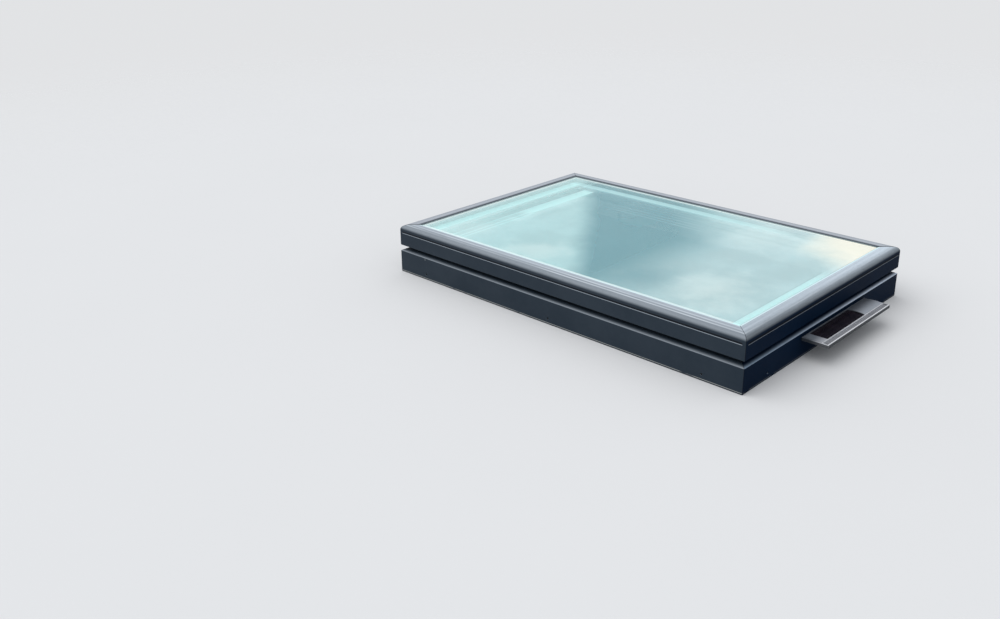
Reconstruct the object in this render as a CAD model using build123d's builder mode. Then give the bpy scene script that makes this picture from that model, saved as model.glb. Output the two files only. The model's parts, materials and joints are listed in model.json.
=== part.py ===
from build123d import *
from math import atan2, cos, degrees, pi, sin
import os

# Roof skylight that opens on a chain, with its frame and a solar tray.
# Millimetres. Heights are above the top of the curb that carries the skylight.
# Insets are measured inwards from the outer face of the cladding.
# +X is the hinge end with the solar tray, -X the end that lifts, -Y the near side.

# Overall size over the cladding
outer_length = 1305.0
outer_width = 898.5

# Sheet metal of the cladding
sheet = 1.5
bend_radius = 2.2
mitre_gap = 0.3
bracket_sheet = 1.5

# Curb skirt and frame cladding
skirt_drop = 45.0
hem_width = 6.0
ledge_height = 29.5
ledge_bevel = 12.0
ledge_rise = 5.5
ledge_fall = 1.5
upstand_inset = 24.0
flange_width = 10.0
skirt_hole_radius = 3.0
skirt_hole_height = -26.4
skirt_hole_from_corner = 122.5

# Wooden frame and its curb gasket
rail_inner_inset = 100.0
frame_top = 64.0
rail_edge = 2.0
rail_end_gap = 1.0
curb_gasket_height = 4.0
curb_gasket_inset = 28.0
curb_gasket_width = 30.0

# Weatherstrips between frame and sash
seal_gap = 8.0
seal_squeeze_gap = 0.3
seal_width = 10.0
seal_stem_width = 4.0
seal_stem_depth = 3.0
seal_groove_play = 0.1
outer_seal_inset = 42.0
inner_seal_inset = 88.0

# Sash
sash_gap = 19.2
sash_lip = 7.0
sash_rail_inset = 20.0
sash_rail_height = 20.0
accessory_groove_depth = 3.0
accessory_groove_height = 5.0
accessory_groove_drop = 6.0

# Sash cladding
cladding_cover = 48.0
shoulder_radius = 15.0
crest_drop = 0.4
crown_rise = 0.9
bead_height = 91.7
bead_radius = 0.9
bead_end_gap = 11.0

# Insulating glass
glass_inset = 36.0
outer_pane_thickness = 4.0
glass_cavity = 11.5
inner_pane_thickness = 6.0
tape_thickness = 1.2
tape_inset = 40.0
tape_width = 26.0
edge_seal_width = 7.0
spacer_width = 7.0
glazing_gasket_thickness = 1.2
glazing_gasket_inset = 37.0
glazing_gasket_lip = 3.0
glass_edge = 0.5
block_length = 60.0
block_width = 4.0
block_height = 16.0
block_clearance = 0.3

# Corner brackets and cladding clips
corner_arm = 38.0
corner_bracket_height = 40.0
frame_bracket_lift = 10.0
sash_bracket_lift = 1.0
clip_sheet = 1.2
clip_length = 30.0
clip_height = 14.0
clip_lift = 2.0
clip_from_corner = 252.5

# Hinges
hinge_inset = 14.0
hinge_height = 58.0
hinge_from_corner = 189.25
hinge_leaf_width = 60.0
hinge_leaf_sheet = 3.0
knuckle_radius = 6.0
knuckle_gap = 0.25
sash_knuckle_width = 24.0
hinge_pin_radius = 3.0
hinge_pin_running_gap = 0.06
hinge_pin_press_gap = 0.01
hinge_pin_head = 5.0
hinge_pin_head_height = 2.0
hinge_leaf_gap = 3.0
frame_leaf_drop = 1.0
frame_leaf_ledge_gap = 0.3
sash_leaf_top_drop = 4.0

# Fasteners
screw_play = 0.1
screw_hole_overrun = 1.0
wood_screw_radius = 2.0
wood_screw_length = 18.0
wood_screw_head = 4.0
wood_screw_head_height = 2.0
sheet_screw_radius = 1.5
sheet_screw_length = 10.0
sheet_screw_head = 2.8
sheet_screw_head_height = 1.6
flange_screw_from_corner = 152.5
flange_screw_inset = 29.5
hinge_screw_spread = 40.0

# Insect screen
screen_play = 1.5
screen_bar_width = 14.0
screen_bar_height = 8.0
screen_lift = 5.0
spline_width = 3.4
spline_play = 0.3
spline_inset = 4.0
mesh_thickness = 0.5
screen_clip_width = 16.0
screen_clip_sheet = 0.9
screen_clip_height = 26.0
screen_clip_tongue = 12.0
screen_clip_from_corner = 302.5
screen_clip_screw_height = 22.0

# Chain operator on the frame rail of the end that lifts
operator_width = 54.0
operator_near_end = -42.0
operator_end_gap = 3.0
operator_top_rise = 1.0
operator_floor = 17.0
cover_wall = 2.2
cover_round = 8.0
cover_play = 0.2
operator_sheet = 1.5
operator_plate_height = 44.0
operator_screw_from_end = 15.0
operator_screw_gap = 8.0
operator_screw_height = 55.0

# Chain
chain_pitch = 10.0
chain_roller_radius = 3.0
chain_roller_length = 6.0
chain_pin_radius = 1.5
chain_pin_end = 0.6
chain_plate = 1.2
chain_plate_gap = 0.15
chain_plate_radius = 3.4
chain_pin_hole_gap = 0.1
chain_upright_links = 3
chain_stored_links = 21
chain_guide_wall = 1.6
chain_guide_play = 0.5
chain_guide_start = 30.0
chain_guide_end = 240.0
chain_guide_height = 14.5
chain_slot_play = 5.0

# Drive
sprocket_teeth = 8
sprocket_centre_height = 41.0
sprocket_thickness = 4.6
sprocket_tip = 0.4
sprocket_hub_radius = 7.0
sprocket_hub_length = 12.0
gullet_gap = 0.3
shaft_radius = 4.0
shaft_running_gap = 0.05
shaft_depth = 9.0
shaft_end = 14.5
gearbox_depth = 15.0
gearbox_near_end = -6.0
gearbox_length = 38.0
gearbox_height = 40.0
motor_radius = 11.0
motor_length = 62.0
motor_height = 46.0
motor_play = 1.0
bearing_sheet = 3.0
bearing_offset = 11.5
bearing_width = 18.0
bearing_height = 31.0
bearing_foot = 11.0

# Battery and circuit board
battery_width = 40.0
battery_height = 38.0
battery_stand_off = 5.0
battery_near_gap = 12.0
battery_far_gap = 4.0
battery_round = 2.0
board_length = 120.0
board_height = 22.0
board_thickness = 1.6
board_start = 110.0
board_bottom = 34.0
board_edge = 4.0
standoff_radius = 2.5
standoff_length = 4.0
relay_size = (8.0, 18.0, 14.0)
relay_steps = (-40, 0, 40)

# Chain bracket on the sash
chain_bracket_sheet = 3.0
chain_bracket_width = 56.0
chain_bracket_height = 17.5
chain_bracket_lift = 0.5
chain_bracket_screw_spread = 40.0
chain_bracket_screw_height = 80.0
chain_tongue_width = 28.0
chain_tongue_rise = 4.0
chain_tongue_reach = 10.0
chain_lug_gap = 0.4
chain_lug_radius = 4.0
chain_lug_running_gap = 0.05

# Solar tray on the hinge end, with heights and distances outwards from the skirt
solar_near_end = -157.0
solar_far_end = 214.0
solar_stand_off = 2.5
solar_depth = 78.0
solar_top_drop = 10.0
solar_height = 10.0
solar_wall = 1.5
solar_rim = 4.0
solar_lip = 4.5
solar_strip = 14.5
solar_strip_drop = 3.5
solar_inner_rib = 2.0
solar_rib_width = 1.0
solar_rib_height = 1.2
solar_rib_pitch = 3.0
solar_rib_steps = (-2, -1, 0, 1, 2)
solar_cap_length = 33.0
solar_cap_play = 0.2
pv_start = -122.0
pv_length = 222.0
pv_edge_play = 0.4
pv_drop = 1.0
solar_cover_sheet = 1.2
solar_cover_rise = 3.0
solar_bracket_sheet = 1.5
solar_bracket_width = 25.0
solar_bracket_reach = 66.0
solar_bracket_leg = 22.0
solar_bracket_alongs = (-71.5, 128.5)
solar_bracket_screw_height = -5.0
solar_bracket_screw_spread = 14.0
grommet_along = 165.0
grommet_centre_height = -2.0
grommet_radius = 7.0
grommet_bore = 3.5
grommet_flange = 1.5
grommet_flange_sheet = 1.5

# Heights and insets that follow from the sizes above
flange_top = frame_top + sheet
sash_bottom = ledge_height + sash_gap
sash_rail_bottom = frame_top + seal_gap
sash_rail_top = sash_rail_bottom + sash_rail_height
glass_bottom = sash_rail_top + tape_thickness
cavity_bottom = glass_bottom + inner_pane_thickness
outer_pane_bottom = cavity_bottom + glass_cavity
glass_top = outer_pane_bottom + outer_pane_thickness
cladding_edge_top = glass_top + glazing_gasket_thickness + sheet
crest_height = cladding_edge_top - crest_drop
frame_rail_inset = upstand_inset + sheet
end_x = outer_length / 2
side_y = outer_width / 2
rail_inner_x = end_x - rail_inner_inset
rail_inner_y = side_y - rail_inner_inset
operator_back = -rail_inner_x
operator_front = operator_back + operator_width
operator_far_end = rail_inner_y - operator_end_gap
operator_top = frame_top + operator_top_rise
gearbox_far_end = gearbox_near_end + gearbox_length
hinge_along = side_y - hinge_from_corner
hinge_alongs = (-hinge_along, hinge_along)
frame_leaf_bottom = ledge_height + ledge_rise + ledge_fall + bend_radius + frame_leaf_ledge_gap
frame_leaf_top = hinge_height - frame_leaf_drop
frame_hinge_screw_height = (frame_leaf_bottom + frame_leaf_top) / 2
sash_leaf_bottom = hinge_height + knuckle_radius + hinge_leaf_gap
sash_leaf_top = sash_rail_top - sash_leaf_top_drop
sash_hinge_screw_height = (max(sash_leaf_bottom, sash_rail_bottom) + sash_leaf_top) / 2
operator_bed = operator_floor + operator_sheet
chain_x = operator_back + operator_width / 2
chain_half_width = chain_roller_length / 2 + 2 * chain_plate + chain_plate_gap + chain_pin_end
sprocket_pitch_radius = chain_pitch / (2 * sin(pi / sprocket_teeth))
stored_chain_height = sprocket_centre_height - sprocket_pitch_radius
chain_end_height = sprocket_centre_height + chain_upright_links * chain_pitch
outer_plate_face = chain_roller_length / 2 + chain_plate + chain_plate_gap
solar_top = ledge_height - solar_top_drop
solar_bottom = solar_top - solar_height
solar_bed = solar_bottom + solar_wall
solar_front = solar_stand_off + solar_depth
solar_rib_at = solar_front - solar_lip - solar_strip - solar_inner_rib
wood_screw = (wood_screw_radius, wood_screw_length, wood_screw_head, wood_screw_head_height)
sheet_screw = (sheet_screw_radius, sheet_screw_length, sheet_screw_head, sheet_screw_head_height)
wood_screw_hole = (wood_screw_radius + screw_play, wood_screw_length + screw_hole_overrun)
sheet_screw_hole = (sheet_screw_radius + screw_play, sheet_screw_length + screw_hole_overrun)

# One plane for each side: x points inwards, y upwards, and the origin is mid-side
side_planes = {
    "near": Plane(origin=(0, -side_y, 0), x_dir=(0, 1, 0), z_dir=(1, 0, 0)),
    "far": Plane(origin=(0, side_y, 0), x_dir=(0, -1, 0), z_dir=(-1, 0, 0)),
    "lifting_end": Plane(origin=(-end_x, 0, 0), x_dir=(1, 0, 0), z_dir=(0, -1, 0)),
    "hinge_end": Plane(origin=(end_x, 0, 0), x_dir=(-1, 0, 0), z_dir=(0, 1, 0)),
}
side_halves = {"near": end_x, "far": end_x, "lifting_end": side_y, "hinge_end": side_y}
long_sides = ("near", "far")

os.makedirs("parts", exist_ok=True)


def save(piece, name):
    piece.part.label = name
    export_step(piece.part, f"parts/{name}.step")


def place(side, inset, height, along=0.0):
    # Point on a side, from its inset, its height and its distance from mid-side
    return side_planes[side].from_local_coords(Vector(inset, height, along))


def facing(point, direction):
    # Place whose Z axis points out of the surface, for a screw or a hole
    return Plane(origin=point, z_dir=direction).location


def outward(side):
    return side_planes[side].x_dir * -1


def drill(places, radius, depth):
    with Locations(*places):
        Cylinder(radius, 2 * depth, mode=Mode.SUBTRACT)


def plain_bar(side, profile, half_length):
    with BuildPart() as bar:
        with BuildSketch(side_planes[side]):
            add(profile.sketch)
        extrude(amount=half_length, both=True)
    return bar


def mitre(side, end):
    # Plane of the mitre at one end of a side, facing the middle of the bar
    corner = place(side, 0, 0, end * (side_halves[side] - mitre_gap))
    inwards = place(side, -1, 0, -end) - place(side, 0, 0)
    return Plane(origin=corner, z_dir=inwards)


def mitred_bar(side, profile):
    with BuildPart() as bar:
        with BuildSketch(side_planes[side]):
            add(profile.sketch)
        extrude(amount=side_halves[side], both=True)
        split(bisect_by=mitre(side, 1), keep=Keep.TOP)
        split(bisect_by=mitre(side, -1), keep=Keep.TOP)
    return bar


def loop(outer_inset, inner_inset, bottom, height, mode=Mode.ADD):
    # Rectangular loop, added to or cut from the piece being built
    with BuildSketch(Plane.XY.offset(bottom)) as outline:
        Rectangle(outer_length - 2 * outer_inset, outer_width - 2 * outer_inset)
        Rectangle(outer_length - 2 * inner_inset, outer_width - 2 * inner_inset, mode=Mode.SUBTRACT)
    extrude(outline.sketch, amount=height, mode=mode)


def ring(name, outer_inset, width, bottom, height):
    with BuildPart() as band:
        loop(outer_inset, outer_inset + width, bottom, height)
    save(band, name)


def block(low, high, mode=Mode.ADD):
    # Box between two opposite corners, added to or cut from the piece being built
    size = Vector(*high) - Vector(*low)
    with Locations(low):
        Box(size.X, size.Y, size.Z, align=(Align.MIN, Align.MIN, Align.MIN), mode=mode)


def screws(places, kind):
    radius, length, head_radius, head_height = kind
    with Locations(*places):
        Cylinder(radius, length, align=(Align.CENTER, Align.CENTER, Align.MAX))
        Cone(head_radius, head_radius / 2, head_height, align=(Align.CENTER, Align.CENTER, Align.MIN))


# Wooden frame rail
with BuildSketch() as frame_rail_profile:
    with Locations((frame_rail_inset, curb_gasket_height)):
        Rectangle(
            rail_inner_inset - frame_rail_inset,
            frame_top - curb_gasket_height,
            align=(Align.MIN, Align.MIN),
        )
    fillet(frame_rail_profile.vertices(), radius=rail_edge)

# Frame cladding: hem, skirt over the curb, sloping ledge, upstand and top flange
with BuildSketch() as frame_cladding_profile:
    with BuildLine():
        FilletPolyline(
            (hem_width, -skirt_drop),
            (0, -skirt_drop),
            (0, ledge_height),
            (ledge_bevel, ledge_height + ledge_rise),
            (upstand_inset, ledge_height + ledge_rise + ledge_fall),
            (upstand_inset, flange_top),
            (upstand_inset + flange_width, flange_top),
            radius=bend_radius,
        )
        offset(amount=sheet, side=Side.RIGHT)
    make_face()

# Wooden sash rail with an accessory groove in its inner face
with BuildSketch() as sash_rail_profile:
    with Locations((sash_rail_inset, sash_rail_bottom)):
        Rectangle(rail_inner_inset - sash_rail_inset, sash_rail_height, align=(Align.MIN, Align.MIN))
    fillet(sash_rail_profile.vertices().group_by(Axis.X)[-1], radius=rail_edge)
    with Locations((rail_inner_inset, sash_rail_top - accessory_groove_drop)):
        Rectangle(
            2 * accessory_groove_depth,
            accessory_groove_height,
            align=(Align.CENTER, Align.CENTER),
            mode=Mode.SUBTRACT,
        )

# Sash cladding: turned-in lip, upright side, round shoulder and crowned top
with BuildSketch() as sash_cladding_profile:
    with BuildLine():
        FilletPolyline(
            (sash_lip, sash_bottom),
            (0, sash_bottom),
            (0, crest_height - shoulder_radius),
            radius=bend_radius,
        )
        CenterArc((shoulder_radius, crest_height - shoulder_radius), shoulder_radius, 180, -90)
        ThreePointArc(
            (shoulder_radius, crest_height),
            ((shoulder_radius + cladding_cover) / 2, crest_height + crown_rise),
            (cladding_cover, cladding_edge_top),
        )
        offset(amount=sheet, side=Side.RIGHT)
    make_face()


def rail_half(side, end_inset):
    # The long rails run the full length and the end rails stand between them
    return side_halves[side] - (end_inset if side in long_sides else rail_inner_inset)


def spaced(side, from_corner, steps):
    # Distances from mid-side, where a step of 1 ends at the given distance from the corner
    return [step * (side_halves[side] - from_corner) for step in steps]


def skirt_hole_places(side):
    steps = (-1, 0, 1) if side in long_sides else (-1, 1)
    return [
        facing(place(side, 0, skirt_hole_height, along), outward(side))
        for along in spaced(side, skirt_hole_from_corner, steps)
    ]


def flange_screw_places(side):
    steps = (-1, -0.5, 0, 0.5, 1) if side in long_sides else (-1, 0, 1)
    return [
        facing(place(side, flange_screw_inset, flange_top, along), (0, 0, 1))
        for along in spaced(side, flange_screw_from_corner, steps)
    ]


def hinge_screw_places(inset, height):
    return [
        facing(place("hinge_end", inset, height, hinge + screw), outward("hinge_end"))
        for hinge in hinge_alongs
        for screw in (-hinge_screw_spread / 2, hinge_screw_spread / 2)
    ]


frame_hinge_screws = hinge_screw_places(upstand_inset - hinge_leaf_sheet, frame_hinge_screw_height)
sash_hinge_screws = hinge_screw_places(sash_rail_inset - hinge_leaf_sheet, sash_hinge_screw_height)
operator_screw_places = [
    facing((operator_back + operator_sheet, along, operator_screw_height), (1, 0, 0))
    for along in (
        operator_near_end + operator_screw_from_end,
        gearbox_far_end + motor_length + operator_screw_gap,
        operator_far_end - operator_screw_from_end,
    )
]
chain_bracket_screws = [
    facing((operator_back + chain_bracket_sheet, along, chain_bracket_screw_height), (1, 0, 0))
    for along in (-chain_bracket_screw_spread / 2, chain_bracket_screw_spread / 2)
]
solar_screw_places = [
    facing((end_x + solar_bracket_sheet, along + step, solar_bracket_screw_height), (1, 0, 0))
    for along in solar_bracket_alongs
    for step in (-solar_bracket_screw_spread / 2, solar_bracket_screw_spread / 2)
]
grommet_place = facing((end_x, grommet_along, grommet_centre_height), (1, 0, 0))
shaft_place = facing((chain_x, sprocket_pitch_radius, sprocket_centre_height), (1, 0, 0))


def screen_clip_screw_places(side):
    inset = rail_inner_inset + screen_clip_sheet
    return [
        facing(place(side, inset, screen_clip_screw_height, along), outward(side) * -1)
        for along in spaced(side, screen_clip_from_corner, (-1, 0, 1))
    ]


def frame_rail(side):
    with BuildPart() as rail:
        add(plain_bar(side, frame_rail_profile, rail_half(side, frame_rail_inset + rail_end_gap)))
        for inset in (outer_seal_inset, inner_seal_inset):
            reach = seal_stem_width / 2 + seal_groove_play
            depth = seal_stem_depth + seal_groove_play
            loop(inset - reach, inset + reach, frame_top - depth, depth, Mode.SUBTRACT)
        drill(flange_screw_places(side), *sheet_screw_hole)
        if side in long_sides:
            drill(screen_clip_screw_places(side), *sheet_screw_hole)
        if side == "hinge_end":
            drill(frame_hinge_screws, *wood_screw_hole)
        if side == "lifting_end":
            drill(operator_screw_places, *wood_screw_hole)
    save(rail, f"frame_rail_{side}")


def frame_cladding(side):
    with BuildPart() as cladding:
        add(mitred_bar(side, frame_cladding_profile))
        drill(skirt_hole_places(side), skirt_hole_radius, 2 * sheet)
        drill(flange_screw_places(side), sheet_screw_radius + screw_play, 2 * sheet)
        if side == "hinge_end":
            drill([grommet_place], grommet_radius, 2 * sheet)
            drill(frame_hinge_screws, wood_screw_radius + screw_play, 2 * hinge_leaf_sheet)
            drill(solar_screw_places, sheet_screw_radius + screw_play, 2 * (sheet + solar_bracket_sheet))
    save(cladding, f"frame_cladding_{side}")


def weatherstrip(name, inset):
    # Soft head up to the sash, on a stem in the groove of the frame rails
    with BuildPart() as seal:
        loop(inset - seal_width / 2, inset + seal_width / 2, frame_top, seal_gap - seal_squeeze_gap)
        fillet(seal.edges().group_by(Axis.Z)[-1], radius=seal_width / 3)
        loop(
            inset - seal_stem_width / 2,
            inset + seal_stem_width / 2,
            frame_top - seal_stem_depth,
            seal_stem_depth,
        )
    save(seal, name)


def corner_brackets(name, bottom):
    corner_x = end_x - sheet
    corner_y = side_y - sheet
    with BuildPart() as brackets:
        with BuildSketch(Plane.XY.offset(bottom)):
            with BuildLine():
                Polyline(
                    (corner_x - corner_arm, corner_y),
                    (corner_x, corner_y),
                    (corner_x, corner_y - corner_arm),
                    (corner_x - bracket_sheet, corner_y - corner_arm),
                    (corner_x - bracket_sheet, corner_y - bracket_sheet),
                    (corner_x - corner_arm, corner_y - bracket_sheet),
                    close=True,
                )
            make_face()
        extrude(amount=corner_bracket_height)
        mirror(about=Plane.XZ)
        mirror(about=Plane.YZ)
    save(brackets, name)


def sash_rail(side):
    with BuildPart() as rail:
        add(plain_bar(side, sash_rail_profile, rail_half(side, sash_rail_inset)))
        if side == "hinge_end":
            drill(sash_hinge_screws, *wood_screw_hole)
        if side == "lifting_end":
            drill(chain_bracket_screws, *wood_screw_hole)
    save(rail, f"sash_rail_{side}")


def sash_cladding(side):
    # The bead is a raised line that stops short of the corners
    with BuildPart() as cladding:
        add(mitred_bar(side, sash_cladding_profile))
        with BuildSketch(side_planes[side]):
            with Locations((0, bead_height)):
                Circle(bead_radius)
            with Locations((sheet / 2, bead_height)):
                Rectangle(sheet, 4 * bead_radius, align=(Align.MIN, Align.CENTER), mode=Mode.SUBTRACT)
        extrude(amount=side_halves[side] - bead_end_gap, both=True)
    save(cladding, f"sash_cladding_{side}")


def pane(name, bottom, thickness):
    with BuildPart() as glass:
        with BuildSketch(Plane.XY.offset(bottom)):
            Rectangle(outer_length - 2 * glass_inset, outer_width - 2 * glass_inset)
        extrude(amount=thickness)
        chamfer(glass.edges().group_by(Axis.Z)[-1], length=glass_edge)
    save(glass, name)


def sash_clips():
    # Clips that tie the cladding to the wooden sash rails
    with BuildPart() as clips:
        for side in side_planes:
            for along in spaced(side, clip_from_corner, (-1, 0, 1)):
                with BuildSketch(side_planes[side].offset(along)):
                    with Locations((sash_rail_inset - clip_sheet, sash_rail_bottom + clip_lift)):
                        Rectangle(clip_sheet, clip_height, align=(Align.MIN, Align.MIN))
                    with Locations((sheet, sash_rail_bottom + clip_lift + clip_height)):
                        Rectangle(sash_rail_inset - sheet, clip_sheet, align=(Align.MIN, Align.MAX))
                        Rectangle(clip_sheet, clip_height, align=(Align.MIN, Align.MAX))
                extrude(amount=clip_length / 2, both=True)
    save(clips, "sash_cladding_clips")


def glazing_blocks():
    # Blocks that keep the edge of the glass centred on the sash rails
    with BuildPart() as blocks:
        for side in side_planes:
            for step in (-1, 1):
                with BuildSketch(side_planes[side].offset(step * side_halves[side] / 2)):
                    with Locations((glass_inset - block_clearance, sash_rail_top)):
                        Rectangle(block_width, block_height, align=(Align.MAX, Align.MIN))
                extrude(amount=block_length / 2, both=True)
    save(blocks, "glazing_blocks")


def hinge_section(along, shapes, half_width):
    # Rectangles of a hinge leaf, each from one corner (inset, height) to the other
    with BuildSketch(side_planes["hinge_end"].offset(along)) as section:
        for low, high in shapes:
            with Locations(low):
                Rectangle(high[0] - low[0], high[1] - low[1], align=(Align.MIN, Align.MIN))
    extrude(section.sketch, amount=half_width, both=True)


def knuckle(along, half_width, bore, mode=Mode.ADD):
    with BuildSketch(side_planes["hinge_end"].offset(along)) as section:
        with Locations((hinge_inset, hinge_height)):
            Circle(bore)
    extrude(section.sketch, amount=half_width, both=True, mode=mode)


def hinge(end_name, along):
    half_leaf = hinge_leaf_width / 2
    half_sash = sash_knuckle_width / 2
    frame_knuckle = (half_leaf - half_sash - knuckle_gap) / 2
    frame_knuckle_at = half_leaf - frame_knuckle
    with BuildPart() as frame_leaf:
        plate_inset = upstand_inset - hinge_leaf_sheet
        plate = ((plate_inset, frame_leaf_bottom), (upstand_inset, frame_leaf_top))
        hinge_section(along, [plate], half_leaf)
        for step in (-1, 1):
            centre = along + step * frame_knuckle_at
            arm = ((hinge_inset, hinge_height - knuckle_radius), (upstand_inset, frame_leaf_top))
            hinge_section(centre, [arm], frame_knuckle)
            knuckle(centre, frame_knuckle, knuckle_radius)
        knuckle(along, half_leaf, hinge_pin_radius + hinge_pin_press_gap, Mode.SUBTRACT)
        drill(frame_hinge_screws, wood_screw_radius + screw_play, 2 * hinge_leaf_sheet)
    save(frame_leaf, f"hinge_frame_leaf_{end_name}")

    with BuildPart() as sash_leaf:
        plate_inset = sash_rail_inset - hinge_leaf_sheet
        plate = ((plate_inset, sash_leaf_bottom), (sash_rail_inset, sash_leaf_top))
        hinge_section(along, [plate], half_leaf)
        neck = ((plate_inset, hinge_height), (sash_rail_inset, sash_leaf_bottom))
        hinge_section(along, [neck], half_sash)
        knuckle(along, half_sash, knuckle_radius)
        knuckle(along, half_sash, hinge_pin_radius + hinge_pin_running_gap, Mode.SUBTRACT)
        drill(sash_hinge_screws, wood_screw_radius + screw_play, 2 * hinge_leaf_sheet)
    save(sash_leaf, f"hinge_sash_leaf_{end_name}")


def hinge_pins():
    half_leaf = hinge_leaf_width / 2
    with BuildPart() as pins:
        for along in hinge_alongs:
            knuckle(along, half_leaf + hinge_pin_head_height, hinge_pin_radius)
            for step in (-1, 1):
                head_at = along + step * (half_leaf + hinge_pin_head_height / 2)
                knuckle(head_at, hinge_pin_head_height / 2, hinge_pin_head)
    save(pins, "hinge_pins")


# Screen bar with a groove in its top for the spline
with BuildSketch() as screen_bar_profile:
    with Locations((rail_inner_inset + screen_play, screen_lift)):
        Rectangle(screen_bar_width, screen_bar_height, align=(Align.MIN, Align.MIN))
    with Locations((rail_inner_inset + screen_play + spline_inset, screen_lift + screen_bar_height)):
        Rectangle(
            spline_width + 2 * spline_play,
            spline_width + spline_play,
            align=(Align.MIN, Align.MAX),
            mode=Mode.SUBTRACT,
        )


def insect_screen():
    with BuildPart() as bars:
        for side in side_planes:
            add(mitred_bar(side, screen_bar_profile))
    save(bars, "screen_frame")

    screen_top = screen_lift + screen_bar_height
    spline_at = rail_inner_inset + screen_play + spline_inset + spline_play
    ring("screen_spline", spline_at, spline_width, screen_top - spline_width, spline_width)

    mesh_inset = spline_at + spline_width + spline_play
    with BuildPart() as mesh:
        with BuildSketch(Plane.XY.offset(screen_top)):
            Rectangle(outer_length - 2 * mesh_inset, outer_width - 2 * mesh_inset)
        extrude(amount=mesh_thickness)
    save(mesh, "screen_mesh")

    # Clips on the long rails carry the screen from below
    with BuildPart() as clips:
        for side in long_sides:
            for along in spaced(side, screen_clip_from_corner, (-1, 0, 1)):
                with BuildSketch(side_planes[side].offset(along)):
                    with Locations((rail_inner_inset, screen_lift - screen_clip_sheet)):
                        Rectangle(screen_clip_sheet, screen_clip_height, align=(Align.MIN, Align.MIN))
                        Rectangle(screen_clip_tongue, screen_clip_sheet, align=(Align.MIN, Align.MIN))
                extrude(amount=screen_clip_width / 2, both=True)
            drill(screen_clip_screw_places(side), sheet_screw_radius + screw_play, 2 * screen_clip_sheet)
    save(clips, "screen_clips")


def operator_housing():
    near = operator_near_end + cover_wall + cover_play
    far = operator_far_end - cover_wall - cover_play
    front = operator_front - cover_wall - cover_play
    with BuildPart() as tray:
        block((operator_back, near, operator_floor), (front, far, operator_bed))
        block(
            (operator_back, near, operator_floor),
            (operator_back + operator_sheet, far, operator_floor + operator_plate_height),
        )
        drill(operator_screw_places, wood_screw_radius + screw_play, 2 * operator_sheet)
    save(tray, "operator_tray")

    # Cover over the drive, open towards the rail and at the bottom, with a slot for the chain
    with BuildPart() as cover:
        block(
            (operator_back, operator_near_end, operator_floor),
            (operator_front, operator_far_end, operator_top),
        )
        front_edges = cover.edges().filter_by(Axis.Y).group_by(Axis.Z)[-1].sort_by(Axis.X)[-1:]
        fillet(front_edges, radius=cover_round)
        inner_top = operator_top - cover_wall
        inner_front = operator_front - cover_wall
        with BuildPart(mode=Mode.PRIVATE) as hollow:
            block(
                (operator_back, operator_near_end + cover_wall, operator_floor),
                (inner_front, operator_far_end - cover_wall, inner_top),
            )
            edges = hollow.edges().filter_by(Axis.Y).group_by(Axis.Z)[-1].sort_by(Axis.X)[-1:]
            fillet(edges, radius=cover_round - cover_wall)
        add(hollow.part, mode=Mode.SUBTRACT)
        slot_x = chain_half_width + chain_slot_play
        slot_y = chain_plate_radius + chain_slot_play
        block(
            (chain_x - slot_x, -slot_y, inner_top - cover_wall),
            (chain_x + slot_x, slot_y, operator_top + cover_wall),
            Mode.SUBTRACT,
        )
    save(cover, "operator_cover")


def gearmotor():
    gearbox_back = operator_back + operator_sheet
    gearbox_front = gearbox_back + gearbox_depth
    with BuildPart() as drive:
        block(
            (gearbox_back, gearbox_near_end, operator_bed),
            (gearbox_front, gearbox_far_end, operator_bed + gearbox_height),
        )
        fillet(drive.edges().filter_by(Axis.X), radius=battery_round)
        motor_at = (gearbox_back + motor_radius + motor_play, gearbox_far_end, motor_height)
        with Locations(facing(motor_at, (0, 1, 0))):
            Cylinder(motor_radius, motor_length, align=(Align.CENTER, Align.CENTER, Align.MIN))
        shaft_at = (gearbox_front, sprocket_pitch_radius, sprocket_centre_height)
        drill([facing(shaft_at, (1, 0, 0))], shaft_radius + shaft_running_gap, shaft_depth + motor_play)
    save(drive, "gearmotor")


def sprocket_bearing():
    near = sprocket_pitch_radius - bearing_width / 2
    far = sprocket_pitch_radius + bearing_width / 2
    back = chain_x + bearing_offset
    with BuildPart() as bearing:
        block((back, near, operator_bed), (back + bearing_sheet, far, operator_bed + bearing_height))
        block((back, near, operator_bed), (back + bearing_foot, far, operator_bed + bearing_sheet))
        with Locations(shaft_place):
            Cylinder(shaft_radius + shaft_running_gap, 2 * operator_width, mode=Mode.SUBTRACT)
    save(bearing, "sprocket_bearing")


def drive_sprocket():
    with BuildPart() as sprocket:
        with Locations(shaft_place):
            Cylinder(sprocket_pitch_radius + sprocket_tip, sprocket_thickness)
            Cylinder(sprocket_hub_radius, sprocket_hub_length)
            with PolarLocations(sprocket_pitch_radius, sprocket_teeth):
                Cylinder(chain_roller_radius + gullet_gap, sprocket_thickness, mode=Mode.SUBTRACT)
        gearbox_front = operator_back + operator_sheet + gearbox_depth
        shaft_start = (gearbox_front - shaft_depth, sprocket_pitch_radius, sprocket_centre_height)
        with Locations(facing(shaft_start, (1, 0, 0))):
            shaft_length = chain_x + shaft_end - gearbox_front + shaft_depth
            Cylinder(shaft_radius, shaft_length, align=(Align.CENTER, Align.CENTER, Align.MIN))
    save(sprocket, "drive_sprocket")


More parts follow.
